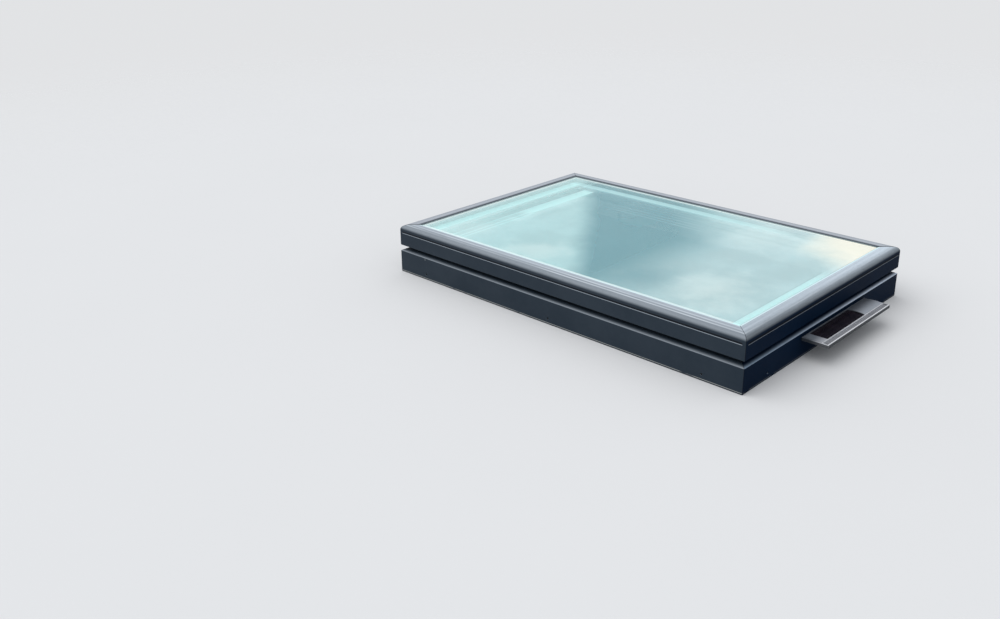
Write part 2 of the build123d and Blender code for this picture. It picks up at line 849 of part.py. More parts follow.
def chain_pins():
    # Pin centres as (y, z): down from the sash, round the sprocket, then along the guide
    upright = [(0.0, chain_end_height - step * chain_pitch) for step in range(chain_upright_links)]
    wrapped = []
    for step in range(3):
        turn = pi + step * 2 * pi / sprocket_teeth
        wrapped.append((
            sprocket_pitch_radius * (1 + cos(turn)),
            sprocket_centre_height + sprocket_pitch_radius * sin(turn),
        ))
    stored = [
        (sprocket_pitch_radius + (step + 1) * chain_pitch, stored_chain_height)
        for step in range(chain_stored_links)
    ]
    return upright + wrapped + stored


def link_plates(links, face):
    # Two side plates for each link, at the same distance either side of the chain's middle
    for start in (chain_x - face - chain_plate, chain_x + face):
        with BuildSketch(Plane.YZ.offset(start)) as plates:
            for (y1, z1), (y2, z2) in links:
                with Locations(((y1 + y2) / 2, (z1 + z2) / 2)):
                    SlotCenterToCenter(
                        chain_pitch,
                        2 * chain_plate_radius,
                        rotation=degrees(atan2(z2 - z1, y2 - y1)),
                    )
        extrude(plates.sketch, amount=chain_plate)


def rounds(centres, radius, half_width, mode=Mode.ADD):
    with BuildSketch(Plane.YZ.offset(chain_x)) as circles:
        with Locations(*centres):
            Circle(radius)
    extrude(circles.sketch, amount=half_width, both=True, mode=mode)


def chain():
    # Outer and inner links in turn, and the free end of the first link takes the end pin
    pins = chain_pins()
    links = list(zip(pins, pins[1:]))
    with BuildPart() as links_and_pins:
        link_plates(links[::2], outer_plate_face)
        link_plates(links[1::2], chain_roller_length / 2)
        rounds(pins[1:], chain_roller_radius, chain_roller_length / 2)
        rounds(pins[1:], chain_pin_radius, chain_half_width)
        rounds(pins[:1], chain_pin_radius + chain_pin_hole_gap, chain_half_width, Mode.SUBTRACT)
    save(links_and_pins, "chain")


def chain_guide():
    inner = chain_half_width + chain_guide_play
    outer = inner + chain_guide_wall
    channel_floor = stored_chain_height - chain_plate_radius - chain_guide_play
    with BuildPart() as guide:
        block(
            (chain_x - outer, chain_guide_start, operator_bed),
            (chain_x + outer, chain_guide_end, operator_bed + chain_guide_height),
        )
        block(
            (chain_x - inner, chain_guide_start, channel_floor),
            (chain_x + inner, chain_guide_end, operator_top),
            Mode.SUBTRACT,
        )
        block(
            (chain_x - inner, chain_guide_start, operator_bed),
            (chain_x + inner, chain_guide_end, channel_floor - chain_guide_wall),
            Mode.SUBTRACT,
        )
    save(guide, "chain_guide")


def battery_and_board():
    back = operator_back + operator_sheet
    with BuildPart() as battery:
        block(
            (back + battery_stand_off, chain_guide_end + battery_near_gap, operator_bed),
            (
                back + battery_stand_off + battery_width,
                operator_far_end - cover_wall - battery_far_gap,
                operator_bed + battery_height,
            ),
        )
        fillet(battery.edges(), radius=battery_round)
    save(battery, "battery_pack")

    board_back = back + standoff_length
    board_front = board_back + board_thickness
    board_middle = board_start + board_length / 2
    board_centre = board_bottom + board_height / 2
    with BuildPart() as board:
        block(
            (board_back, board_start, board_bottom),
            (board_front, board_start + board_length, board_bottom + board_height),
        )
        for along in (board_start + board_edge, board_start + board_length - board_edge):
            with Locations(facing((back, along, board_centre), (1, 0, 0))):
                Cylinder(standoff_radius, standoff_length, align=(Align.CENTER, Align.CENTER, Align.MIN))
        for step in relay_steps:
            with Locations((board_front, board_middle + step, board_centre)):
                Box(*relay_size, align=(Align.MIN, Align.CENTER, Align.CENTER))
    save(board, "control_board")


def chain_bracket():
    # Plate on the sash rail, a tongue over the chain and a lug that holds the end pin
    back = operator_back
    bottom = sash_rail_bottom + chain_bracket_lift
    tongue_bottom = chain_end_height + chain_tongue_rise
    lug = outer_plate_face - chain_lug_gap
    with BuildPart() as bracket:
        block(
            (back, -chain_bracket_width / 2, bottom),
            (back + chain_bracket_sheet, chain_bracket_width / 2, bottom + chain_bracket_height),
        )
        block(
            (back, -chain_tongue_width / 2, tongue_bottom),
            (
                chain_x + chain_tongue_reach,
                chain_tongue_width / 2,
                tongue_bottom + chain_bracket_sheet,
            ),
        )
        block(
            (chain_x - lug, -chain_lug_radius, chain_end_height),
            (chain_x + lug, chain_lug_radius, tongue_bottom),
        )
        rounds([(0.0, chain_end_height)], chain_lug_radius, lug)
        rounds([(0.0, chain_end_height)], chain_pin_radius + chain_lug_running_gap, lug, Mode.SUBTRACT)
        drill(chain_bracket_screws, wood_screw_radius + screw_play, 2 * chain_bracket_sheet)
    save(bracket, "chain_bracket")

    with BuildPart() as pin:
        rounds([(0.0, chain_end_height)], chain_pin_radius, chain_half_width)
        for side in (-1, 1):
            head_at = (chain_x + side * chain_half_width, 0, chain_end_height)
            with Locations(facing(head_at, (side, 0, 0))):
                Cylinder(chain_roller_radius, chain_pin_end, align=(Align.CENTER, Align.CENTER, Align.MIN))
    save(pin, "chain_end_pin")


def solar_plane(along):
    # Section of the tray: x is the distance out from the skirt, y is the height
    return Plane(origin=(end_x, along, 0), x_dir=(1, 0, 0), z_dir=(0, -1, 0))


def solar_stretch(rectangles, near, far):
    # Rectangles of the section, each given by two corners, drawn out from near to far
    with BuildSketch(solar_plane(far)) as section:
        for (out1, height1), (out2, height2) in rectangles:
            with Locations((out1, height1)):
                Rectangle(out2 - out1, height2 - height1, align=(Align.MIN, Align.MIN))
    extrude(section.sketch, amount=far - near)


def solar_tray():
    lip_at = solar_front - solar_lip
    strip_at = lip_at - solar_strip
    strip_top = solar_top - solar_strip_drop
    shapes = [
        ((solar_stand_off, solar_bottom), (solar_front, solar_bed)),
        ((solar_stand_off, solar_bottom), (solar_stand_off + solar_wall, solar_top)),
        ((solar_stand_off, solar_top - solar_wall), (solar_stand_off + solar_rim, solar_top)),
        ((solar_rib_at, solar_bottom), (solar_rib_at + solar_inner_rib, solar_top)),
        ((strip_at, strip_top - solar_wall), (lip_at, strip_top)),
        ((lip_at, solar_bottom), (solar_front, solar_top)),
    ]
    for step in solar_rib_steps:
        rib_at = strip_at + (solar_strip - solar_rib_width) / 2 + step * solar_rib_pitch
        shapes.append(((rib_at, strip_top), (rib_at + solar_rib_width, strip_top + solar_rib_height)))
    with BuildPart() as tray:
        solar_stretch(shapes, solar_near_end, solar_far_end)
    save(tray, "solar_tray")

    # End plates, the near one with a flat block up to the panel
    plate = [((solar_stand_off, solar_bottom), (solar_front, solar_top))]
    filler = [(
        (solar_stand_off + solar_rim + solar_cap_play, solar_bed),
        (solar_rib_at - solar_cap_play, solar_top),
    )]
    with BuildPart() as caps:
        solar_stretch(plate, solar_near_end - solar_wall, solar_near_end)
        solar_stretch(filler, solar_near_end, solar_near_end + solar_cap_length)
        solar_stretch(plate, solar_far_end, solar_far_end + solar_wall)
    save(caps, "solar_end_caps")


def solar_panel_and_cover():
    inner = solar_stand_off + solar_rim + pv_edge_play
    outer = solar_rib_at - pv_edge_play
    pv_end = pv_start + pv_length
    with BuildPart() as panel:
        solar_stretch([((inner, solar_bed), (outer, solar_top - pv_drop))], pv_start, pv_end)
        chamfer(panel.edges().group_by(Axis.Z)[-1], length=pv_edge_play)
    save(panel, "pv_panel")

    cover_start = pv_end + pv_drop
    spring = solar_top - pv_drop
    with BuildPart() as cover:
        with BuildSketch(solar_plane(solar_far_end)):
            with BuildLine():
                Line((inner, solar_bed), (inner, spring))
                ThreePointArc(
                    (inner, spring),
                    ((inner + outer) / 2, spring + solar_cover_rise),
                    (outer, spring),
                )
                Line((outer, spring), (outer, solar_bed))
                offset(amount=solar_cover_sheet, side=Side.RIGHT)
            make_face()
        extrude(amount=solar_far_end - cover_start)
    save(cover, "solar_cover")


def solar_brackets():
    leg = ((0, solar_bottom - solar_bracket_leg), (solar_bracket_sheet, solar_bottom))
    arm = ((0, solar_bottom - solar_bracket_sheet), (solar_bracket_reach, solar_bottom))
    with BuildPart() as brackets:
        for along in solar_bracket_alongs:
            near = along - solar_bracket_width / 2
            solar_stretch([leg, arm], near, near + solar_bracket_width)
        drill(solar_screw_places, sheet_screw_radius + screw_play, 2 * solar_bracket_sheet)
    save(brackets, "solar_brackets")


def cable_grommet():
    flange_radius = grommet_radius + grommet_flange
    with BuildPart() as grommet:
        with Locations(grommet_place):
            Cylinder(
                flange_radius,
                grommet_flange_sheet,
                align=(Align.CENTER, Align.CENTER, Align.MIN),
            )
            Cylinder(grommet_radius, sheet, align=(Align.CENTER, Align.CENTER, Align.MAX))
            with Locations((0, 0, -sheet)):
                Cylinder(
                    flange_radius,
                    grommet_flange_sheet,
                    align=(Align.CENTER, Align.CENTER, Align.MAX),
                )
        drill([grommet_place], grommet_bore, 2 * (sheet + grommet_flange_sheet))
    save(grommet, "cable_grommet")


def frame_and_sash_screws():
    with BuildPart() as group:
        for side in side_planes:
            screws(flange_screw_places(side), sheet_screw)
        for side in long_sides:
            screws(screen_clip_screw_places(side), sheet_screw)
        screws(solar_screw_places, sheet_screw)
        screws(frame_hinge_screws, wood_screw)
        screws(operator_screw_places, wood_screw)
    save(group, "frame_screws")

    with BuildPart() as group:
        screws(sash_hinge_screws, wood_screw)
        screws(chain_bracket_screws, wood_screw)
    save(group, "sash_screws")


for side_name in side_planes:
    frame_rail(side_name)
    frame_cladding(side_name)
    sash_rail(side_name)
    sash_cladding(side_name)
corner_brackets("frame_corner_brackets", frame_bracket_lift - skirt_drop)
corner_brackets("sash_corner_brackets", sash_bottom + sheet + sash_bracket_lift)
ring("curb_gasket", curb_gasket_inset, curb_gasket_width, 0, curb_gasket_height)
weatherstrip("weatherstrip_outer", outer_seal_inset)
weatherstrip("weatherstrip_inner", inner_seal_inset)
sash_clips()

# Glass unit, bedded on tape and closed by the gasket under the cladding
ring("glazing_tape", tape_inset, tape_width, sash_rail_top, tape_thickness)
pane("inner_pane", glass_bottom, inner_pane_thickness)
ring("edge_seal", glass_inset, edge_seal_width, cavity_bottom, glass_cavity)
ring("spacer", glass_inset + edge_seal_width, spacer_width, cavity_bottom, glass_cavity)
pane("outer_pane", outer_pane_bottom, outer_pane_thickness)
gasket_width = cladding_cover - glazing_gasket_inset + glazing_gasket_lip
ring("glazing_gasket", glazing_gasket_inset, gasket_width, glass_top, glazing_gasket_thickness)
glazing_blocks()

hinge("near", hinge_alongs[0])
hinge("far", hinge_alongs[1])
hinge_pins()
insect_screen()
operator_housing()
gearmotor()
sprocket_bearing()
drive_sprocket()
chain()
chain_guide()
battery_and_board()
chain_bracket()
solar_tray()
solar_panel_and_cover()
solar_brackets()
cable_grommet()
frame_and_sash_screws()
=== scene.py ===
import bmesh
import bpy
import json
import math
from mathutils import Matrix, Vector


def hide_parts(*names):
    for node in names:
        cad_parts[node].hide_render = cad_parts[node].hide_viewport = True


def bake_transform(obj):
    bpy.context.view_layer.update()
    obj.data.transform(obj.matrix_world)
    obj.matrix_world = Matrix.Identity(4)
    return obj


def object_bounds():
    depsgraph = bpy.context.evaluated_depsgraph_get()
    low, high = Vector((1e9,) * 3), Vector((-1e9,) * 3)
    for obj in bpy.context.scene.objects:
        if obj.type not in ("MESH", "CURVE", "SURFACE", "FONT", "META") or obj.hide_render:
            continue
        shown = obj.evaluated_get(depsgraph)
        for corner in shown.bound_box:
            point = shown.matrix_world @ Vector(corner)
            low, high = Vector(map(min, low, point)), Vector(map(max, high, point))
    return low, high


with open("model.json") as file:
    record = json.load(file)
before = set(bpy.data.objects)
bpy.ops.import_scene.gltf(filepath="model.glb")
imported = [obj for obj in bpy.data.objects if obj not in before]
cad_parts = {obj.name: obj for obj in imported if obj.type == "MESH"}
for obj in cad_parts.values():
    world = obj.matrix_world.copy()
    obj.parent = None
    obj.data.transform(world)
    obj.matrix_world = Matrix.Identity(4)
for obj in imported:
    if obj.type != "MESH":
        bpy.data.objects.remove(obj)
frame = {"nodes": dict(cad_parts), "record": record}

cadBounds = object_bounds()
scene = bpy.context.scene
nodes = frame["nodes"]
print("frame loaded:", len(nodes), "nodes")


# Camera, matched to the corners in the photograph

cameraSettings = {
    "place": (1.783, -2.487, 1.162),
    "heading": -44.1,    # degrees from +Y, negative is towards -X
    "tilt": 19.79,       # degrees below level
    "roll": 0.61,
    "lens": 36.07,
    "shiftY": -0.0595,
}


def makeCamera(settings):
    bpy.ops.object.camera_add(location=settings["place"])
    camera = bpy.context.object
    camera.name = "photoCamera"
    heading, tilt, roll = (math.radians(settings[key]) for key in ("heading", "tilt", "roll"))
    level = math.cos(tilt)
    forward = Vector((level * math.sin(heading), level * math.cos(heading), -math.sin(tilt)))
    right = Vector((math.cos(heading), -math.sin(heading), 0))
    down = forward.cross(right)
    across = math.cos(roll) * right + math.sin(roll) * down
    under = math.cos(roll) * down - math.sin(roll) * right
    turn = Matrix((across, -under, -forward)).transposed().to_4x4()
    camera.matrix_world = Matrix.Translation(settings["place"]) @ turn
    camera.data.lens = settings["lens"]
    camera.data.sensor_width = 36
    camera.data.shift_y = settings["shiftY"]
    camera.data.clip_start = 0.01
    scene.camera = camera


makeCamera(cameraSettings)
scene.view_settings.view_transform = "Standard"
print("camera placed")


# Shader helpers

def operatorPair(operation):
    # An operator and its reflected form
    def plain(wire, other):
        return wire.maths(operation, wire, other)

    def reflected(wire, other):
        return wire.maths(operation, other, wire)

    return plain, reflected


class Wire:
    # One output of a node, so that maths on patterns reads as plain sums

    def __init__(self, tree, socket):
        self.tree = tree
        self.socket = socket

    def maths(self, operation, *items):
        node = self.tree.nodes.new("ShaderNodeMath")
        node.operation = operation
        for slot, item in zip(node.inputs, items):
            plug(self.tree, slot, item)
        return Wire(self.tree, node.outputs[0])

    __add__, __radd__ = operatorPair("ADD")
    __sub__, __rsub__ = operatorPair("SUBTRACT")
    __mul__, __rmul__ = operatorPair("MULTIPLY")
    __truediv__, __rtruediv__ = operatorPair("DIVIDE")
    __pow__, __rpow__ = operatorPair("POWER")
    __mod__, __rmod__ = operatorPair("FLOORED_MODULO")

    def __abs__(self):
        return self.maths("ABSOLUTE", self)

    def above(self, limit):
        return self.maths("GREATER_THAN", self, limit)

    def below(self, limit):
        return self.maths("LESS_THAN", self, limit)

    def orMore(self, other):
        return self.maths("MAXIMUM", self, other)


def plug(tree, slot, item):
    # Links a wire to a socket, or sets the socket to a plain value
    if isinstance(item, Wire):
        tree.links.new(item.socket, slot)
    elif slot.type == "RGBA":
        slot.default_value = (*item[:3], 1.0)
    else:
        slot.default_value = item


class Finish:
    # A material under construction, or the air of the world

    def __init__(self, name, kind="material"):
        self.block = getattr(bpy.data, kind + "s").new(name)
        self.block.use_nodes = True
        self.tree = self.block.node_tree
        self.tree.nodes.clear()
        self.output = self.tree.nodes.new("ShaderNodeOutput" + kind.capitalize())
        self.place = self.node("TexCoord", output="Object")

    def node(self, kind, settings=None, sockets=None, output=0):
        made = self.tree.nodes.new("ShaderNode" + kind)
        for key, value in (settings or {}).items():
            setattr(made, key, value)
        for key, value in (sockets or {}).items():
            plug(self.tree, made.inputs[key], value)
        return Wire(self.tree, made.outputs[output])

    def axis(self, letter):
        return self.node("SeparateXYZ", sockets={"Vector": self.place}, output=letter)

    def facing(self, letter):
        # How far the surface faces along an axis of the object, from -1 to 1
        normal = self.node("TexCoord", output="Normal")
        return self.node("SeparateXYZ", sockets={"Vector": normal}, output=letter)

    def stretched(self, scale):
        return self.node("Mapping", sockets={"Vector": self.place, "Scale": scale})

    def noise(self, scale, detail=3.0, rough=0.55, place=None):
        settings = {"noise_dimensions": "3D"}
        sockets = {"Vector": place or self.place, "Scale": scale, "Detail": detail, "Roughness": rough}
        return self.node("TexNoise", settings, sockets)

    def cells(self, scale, feature="F1", output="Distance"):
        sockets = {"Vector": self.place, "Scale": scale}
        return self.node("TexVoronoi", {"feature": feature}, sockets, output)

    def ease(self, value, low, high, first=0.0, last=1.0):
        settings = {"interpolation_type": "SMOOTHSTEP"}
        sockets = {"Value": value, "From Min": low, "From Max": high, "To Min": first, "To Max": last}
        return self.node("MapRange", settings, sockets)

    def lines(self, value, places, outer, inner=0.0):
        # Soft lines where the value comes near to a place, full within the inner distance
        return sum(self.ease(abs(value - place), outer, inner) for place in places)

    def band(self, value, low, high, soft=0.0025):
        return self.ease(value, low - soft, low + soft) * self.ease(value, high + soft, high - soft)

    def away(self, middle, squeeze=1.0):
        # Distance from a point in plan, with the second direction squeezed
        x, y = self.axis("X") - middle[0], self.axis("Y") - middle[1]
        return (x ** 2 + (y * squeeze) ** 2) ** 0.5

    def tint(self, mask, first, second):
        # From the first colour to the second, as the mask goes from 0 to 1
        return self.node("Mix", {"data_type": "RGBA"}, {0: mask, 6: first, 7: second}, 2)

    def bump(self, height, strength, distance, under=None):
        sockets = {"Height": height, "Strength": strength, "Distance": distance}
        if under:
            sockets["Normal"] = under
        return self.node("Bump", sockets=sockets)

    def principled(self, **sockets):
        named = {key.replace("_", " "): value for key, value in sockets.items()}
        return self.node("BsdfPrincipled", sockets=named, output="BSDF")

    def done(self, shader):
        plug(self.tree, self.output.inputs["Surface"], shader)
        return self.block


# Powder-coated sheet: dark sides, and a film of pale dust and painted sheen on what faces up

claddingPaint = {
    "side": (0.018, 0.029, 0.043),
    "patch": (0.025, 0.037, 0.052),
    "speck": (0.45, 0.47, 0.46),
    "speckSpacing": 17.0,                   # cells to a metre
    "speckSize": 0.021,
    "speckRare": 0.86,                      # share of the cells that have no speck
    "wear": (0.66, 0.72, 0.78),             # pale lines along the top
    "paleLines": (0.0152, 0.0280),          # and their distances in from the outer face
    "darkLine": (0.16, 0.19, 0.23),           # the darker lines between them
    "darkLines": (0.0098, 0.0210, 0.0355),
    "lineWidth": 0.0044,
    "lineWander": 0.0040,
    # Painted highlight on the bead, and where it lies
    "bead": (0.33, 0.375, 0.43),
    "beadHeight": 0.0917,
    "beadWidth": 0.0011,
    "beadEnd": 0.0110,                      # where it stops short of the corner
    "beadShade": (0.004, 0.006, 0.010),     # painted shade in the line above it
    "shadeRise": 0.0036,
    "shadeWidths": (0.0034, 0.0018),
    "hemHighlight": (0.36, 0.37, 0.36),         # painted highlight on the hem, just above the bottom edge
    "hemHighlightHeight": -0.0400,
    "hemHighlightHalf": 0.0012,
    "seam": (0.012, 0.014, 0.018),
    "underSash": (0.066, 0.050),            # heights between which the sash shelters the ledge: less dust, and painted shade
    "ledgeFront": (0.0352, 0.0290),         # and between which the ledge turns down, with a painted highlight along its front
    "lipHeight": (0.10, 0.11),
    "roughness": 0.46,
}

# Inner edge by the glass, a painted highlight on the near side and hinge end and a painted shadow on the
# far side and lifting end: its colour, and the distances from the glass where it starts and is full
litEdge = ((0.72, 0.93, 0.97), 0.0048, 0.0022)
shadowEdge = ((0.045, 0.060, 0.075), 0.0100, 0.0070)
# Dust on the ledge under the sash, darker as painted shade
ledgeDustAndShade = (0.29, 0.325, 0.37)

# The near side, and what is different on the others
nearSide = {
    # Dust with painted sheen in it, on what faces up
    "dust": (0.43, 0.485, 0.55),
    "turn": (0.04, 0.66),                   # how far a face turns up where the dust and sheen start and are full
    "shoulder": 0.58,                       # share of the dust and sheen that stays at the shoulder
    "thins": (0.003, 0.040),                # distances in between which it thickens
    "ends": (1.0, 1.0),                     # share of it at the low and at the high end
    "ledge": (ledgeDustAndShade, ledgeDustAndShade),        # dust with painted light and shade on the ledge at those ends
    "seams": (0.0013, 0.0013),              # width of the dark mitre line at those ends
    "lines": 1.0,                           # how far the lines along the top show
    "tone": (1.0, 1.0, 1.0),                # how dark the upright faces are, as painted shade
    "beadHighlightShare": 1.0,
    "shine": 0.12,
    "edge": litEdge,
}
# The far side and the lifting end: upright faces a little darker as painted shade, and a painted shadow
# along the inner edge by the glass
hiddenSide = {
    **nearSide, "dust": (0.42, 0.455, 0.51), "turn": (0.10, 0.75), "shoulder": 0.75,
    "tone": (0.9, 0.9, 0.9), "shine": 0.10, "edge": shadowEdge,
}
sideLooks = {
    "near": nearSide,
    "far": {**hiddenSide, "lines": 0.3, "seams": (0.0011, 0.0110)},
    "lifting_end": {**hiddenSide, "lines": 0.4, "seams": (0.0110, 0.0011)},
    # At the hinge end the film is a painted reflection that fades to the shoulder and grows towards the
    # far corner, the ledge gets a bright painted highlight there, and the upright faces get painted shade
    "hinge_end": {
        **nearSide, "dust": (0.47, 0.535, 0.605), "turn": (0.0, 0.55), "shoulder": 0.27,
        "thins": (-0.006, 0.030), "ends": (0.90, 1.22),
        "ledge": ((0.24, 0.317, 0.414), (0.70, 0.79, 0.94)),
        "lines": 0.35, "tone": (0.10, 0.28, 0.53), "beadHighlightShare": 0.5, "shine": 0.012,
    },
}

halfSize = {"X": 0.6525, "Y": 0.44925}      # half lengths of the skylight in plan
glassEdge = 0.048                           # from the outer face to the glass


def paintCladding(settings, look, name, across):
    # across is the direction in which the piece is narrow
    along = "Y" if across == "X" else "X"
    finish = Finish(name)
    up = finish.facing("Z")
    height = finish.axis("Z")
    inset = halfSize[across] - abs(finish.axis(across))
    otherInset = halfSize[along] - abs(finish.axis(along))
    cloud = finish.noise(6.0, 5.0, 0.6)
    smudge = finish.noise(34.0, 4.0, 0.65)
    grain = finish.noise(1400.0, 2.0)
    lengthwise = finish.stretched((1.0, 14.0, 14.0) if along == "X" else (14.0, 1.0, 14.0))
    brushed = finish.noise(14.0, 3.0, 0.6, lengthwise)
    scratched = finish.noise(52.0, 4.0, 0.7, lengthwise)

    # Bare sheet, with faint patches and a few dry specks, darkened on each side by its painted shade
    bare, patch = ([a * b for a, b in zip(settings[key], look["tone"])] for key in ("side", "patch"))
    sheet = finish.tint(finish.ease(cloud + 0.3 * smudge, 0.45, 0.85), bare, patch)
    spacing = settings["speckSpacing"]
    cellPick = finish.cells(spacing, output="Color")
    pick = finish.node("SeparateColor", sockets={"Color": cellPick}, output=0)
    speck = finish.cells(spacing).below(settings["speckSize"]) * pick.above(settings["speckRare"])
    sheet = finish.tint(speck, sheet, settings["speck"])

    # Film of dust and painted sheen, thick by the glass and thin at the shoulder; under the sash, less
    # dust and painted shade, but for a painted highlight where the ledge turns down
    film = finish.ease(up + 0.14 * (cloud - 0.5), *look["turn"])
    sheltered = finish.ease(height, *settings["underSash"])
    front = finish.ease(height, *settings["ledgeFront"])
    thick = finish.ease(inset + 0.010 * (brushed - 0.5), *look["thins"])
    crowns = []
    for share in look["ends"]:
        dust = [part * share for part in look["dust"]]
        crowns.append(finish.tint(thick, [part * look["shoulder"] for part in dust], dust))
    toHigh = finish.ease(finish.axis(along), -halfSize[along], halfSize[along])
    crown = finish.tint(toHigh, *crowns)
    crown = finish.tint(finish.ease(scratched, 0.52, 0.28) * 0.22, crown, bare)
    filmColour = finish.tint(sheltered, crown, finish.tint(toHigh, *look["ledge"]))
    colour = finish.tint(film * (1 - sheltered * (1 - 0.9 * front ** 1.5)), sheet, filmColour)

    # Pale and dark lines along the top
    topOnly = finish.ease(up, 0.25, 0.6) * (1 - sheltered) * look["lines"]
    drift = finish.ease(finish.noise(3.0, 3.0, 0.6, lengthwise), 0.30, 0.62)
    wandering = inset + settings["lineWander"] * (finish.noise(1.7, 2.0) - 0.5)
    for key, tone, share in (("darkLines", "darkLine", 0.42), ("paleLines", "wear", 0.75)):
        lines = finish.lines(wandering, settings[key], settings["lineWidth"])
        colour = finish.tint(lines * drift * topOnly * share, colour, settings[tone])

    # Along the inner edge by the glass: a painted highlight on the near side and hinge end, a painted
    # shadow on the far side and lifting end
    edgeTone, edgeStart, edgeFull = look["edge"]
    lip = finish.ease(inset, glassEdge - edgeStart, glassEdge - edgeFull)
    lip = lip * finish.ease(height, *settings["lipHeight"])
    colour = finish.tint(lip * 0.85, colour, edgeTone)

    # Painted highlight on the thin bead, stopping short of the corners, and painted shade in the line
    # above it
    beadEnd = settings["beadEnd"]
    outer = finish.ease(inset, 0.006, 0.002) * finish.ease(otherInset, beadEnd - 0.001, beadEnd)
    rise = height - settings["beadHeight"]
    bead = finish.lines(rise, [0.0], settings["beadWidth"], 0.4 * settings["beadWidth"])
    colour = finish.tint(bead * outer, colour, [part * look["beadHighlightShare"] for part in settings["bead"]])
    shade = finish.lines(rise, [settings["shadeRise"]], *settings["shadeWidths"])
    colour = finish.tint(shade * outer * 0.95, colour, settings["beadShade"])

    # Painted highlight where the hem catches light, just above the bottom edge of the skirt, here and
    # there
    broken = finish.ease(finish.noise(9.0, 3.0) + 0.4 * (cloud - 0.5), 0.36, 0.46)
    hemHighlightHalf = settings["hemHighlightHalf"]
    edge = finish.lines(height, [settings["hemHighlightHeight"]], hemHighlightHalf, 0.5 * hemHighlightHalf)
    colour = finish.tint(edge * broken * look["lines"] * 0.9, colour, settings["hemHighlight"])

    # Dark line in the mitres: the joint, with painted shade in its gap, wider towards one corner on the
    # far side and the lifting end
    seamWidth = finish.ease(finish.axis(along), -0.1, 0.1, *look["seams"])
    seam = finish.ease(abs(inset - otherInset) / seamWidth, 1.0, 0.3)
    colour = finish.tint(seam * 0.85, colour, settings["seam"])

    shader = finish.principled(
        Base_Color=colour,
        Roughness=settings["roughness"] + 0.10 * (cloud - 0.5) + 0.16 * film,
        Specular_IOR_Level=look["shine"],
        Normal=finish.bump(grain, 0.06, 0.0003),
    )
    return finish.done(shader)


# Insulating glass: it is clear from above, and paler and less clear at a flat angle; its colour holds
# painted reflections, and painted highlights and shade of what lies beneath it

glassLook = {
    # Painted reflection of the sky, over the glass's own cyan tint
    "tintedSkyReflection": (0.64, 0.965, 0.99),
    "greyer": (0.68, 0.93, 0.965),          # the painted reflection, greyer towards the hinge end
    "greyerRun": (-0.05, 0.30),
    "bright": (0.68, 1.0, 1.0),             # painted highlight over the pale ledges at the lifting end
    "brightRun": (-0.42, -0.50),
    # Painted shade seen through the glass, in its deep part
    "deep": (0.10, 0.32, 0.385),
    "deepMiddle": (-0.171, -0.072),         # a point on the soft edge of the deep part
    "deepTurn": (0.80, 0.60),               # the direction in which the deep part lies
    "deepStart": (-0.058, 0.045),
    "deepEnd": (0.34, 0.06),
    "deepBend": (0.05, 0.36),               # y over which its end bends to the left
    "deepEdge": (0.12, 0.33, 0.38),         # its painted shade beyond the far ledge
    "deepEdgeRun": (0.343, 0.353),
    "reflectedLines": (0.170, 0.190, 0.214, 0.235, 0.256, 0.280),   # y of the faint pale lines of painted reflection
    "reflectedLineTone": (0.40, 0.66, 0.73),
    "reflectedLineWidth": 0.0055,
    "reflectedLineRun": (-0.30, -0.20, 0.12, 0.24),                 # x where they fade in and out
    "squeeze": 0.8,                         # width in X of a spot that is 1 long in Y
    "shades": (                             # x, y, reach and share of each darker spot of painted shade
        (0.23, -0.28, 0.16, 0.50),
        (-0.08, 0.20, 0.16, 0.25),
        (0.02, 0.315, 0.07, 0.20),
    ),
    "spots": (                              # x, y, reach, colour and share of each pale spot of painted reflection
        (0.42, -0.23, 0.17, (0.84, 1.0, 0.99), 0.75),
        (-0.17, -0.31, 0.13, (0.82, 0.99, 0.97), 0.50),
        (0.30, 0.27, 0.17, (0.82, 1.0, 0.99), 0.40),
        (-0.46, -0.33, 0.10, (0.80, 1.0, 1.0), 0.40),
    ),
    "glare": (1.0, 0.99, 0.86),
    "glareCorner": (0.60, 0.40),
    "glareReach": (0.24, 0.09),
    "farBand": (0.316, 0.350),              # y of the painted highlight of the ledge on the far side
    "farBandRun": (0.42, 0.24),             # x where that goes under in the glare
    "farBandTone": (0.60, 0.98, 1.0),
    "endBand": (-0.561, -0.525),            # x of the painted highlight of the ledge at the lifting end
    "endShade": (-0.522, -0.467),             # and of the painted shade beside it
    "endShadeRun": (-0.25, 0.10),             # y over which its share grows
    "endShadeShares": (0.04, 0.28),
    "endShadeTone": (0.10, 0.25, 0.30),
    "endLine": -0.494,                      # x of the painted pale line within that run
    "operatorBand": (-0.465, -0.421),
    "operatorRun": (-0.090, -0.030, 0.275), # y where it starts, is full and ends
    "operatorLines": (-0.460, -0.434, -0.416),               # x of the painted pale lines beyond its start
    "lineWidths": (0.0055, 0.0020),
    "litEdge": (0.5925, 0.3895),            # how far out the glass is lit, but at the hinge end
    "litTone": (0.85, 1.0, 1.0),
    "strip": 0.5780,                        # x where the painted highlight of the ledge at the hinge end starts
    "stripTone": (0.60, 1.0, 1.0),
    "stripFade": (0.14, 0.0),               # y where it goes under in the glare
    "rimWidths": (0.0030, 0.0006),          # the painted shade line where it starts
    "outerClear": 0.10,                     # cover when seen straight on, and at a flat angle
    "outerFlat": 0.52,
    "covers": {                             # what each pattern adds to it at a flat angle
        "deep": 0.13, "pale": 0.12, "glare": 0.34, "bright": -0.08, "farBand": 0.14,
        "bands": 0.20, "lines": 0.12, "lit": 0.45, "strip": 0.14,
    },
    "innerTint": (0.25, 0.85, 0.92),
    "innerClear": 0.04,
    "innerFlat": 0.16,
}


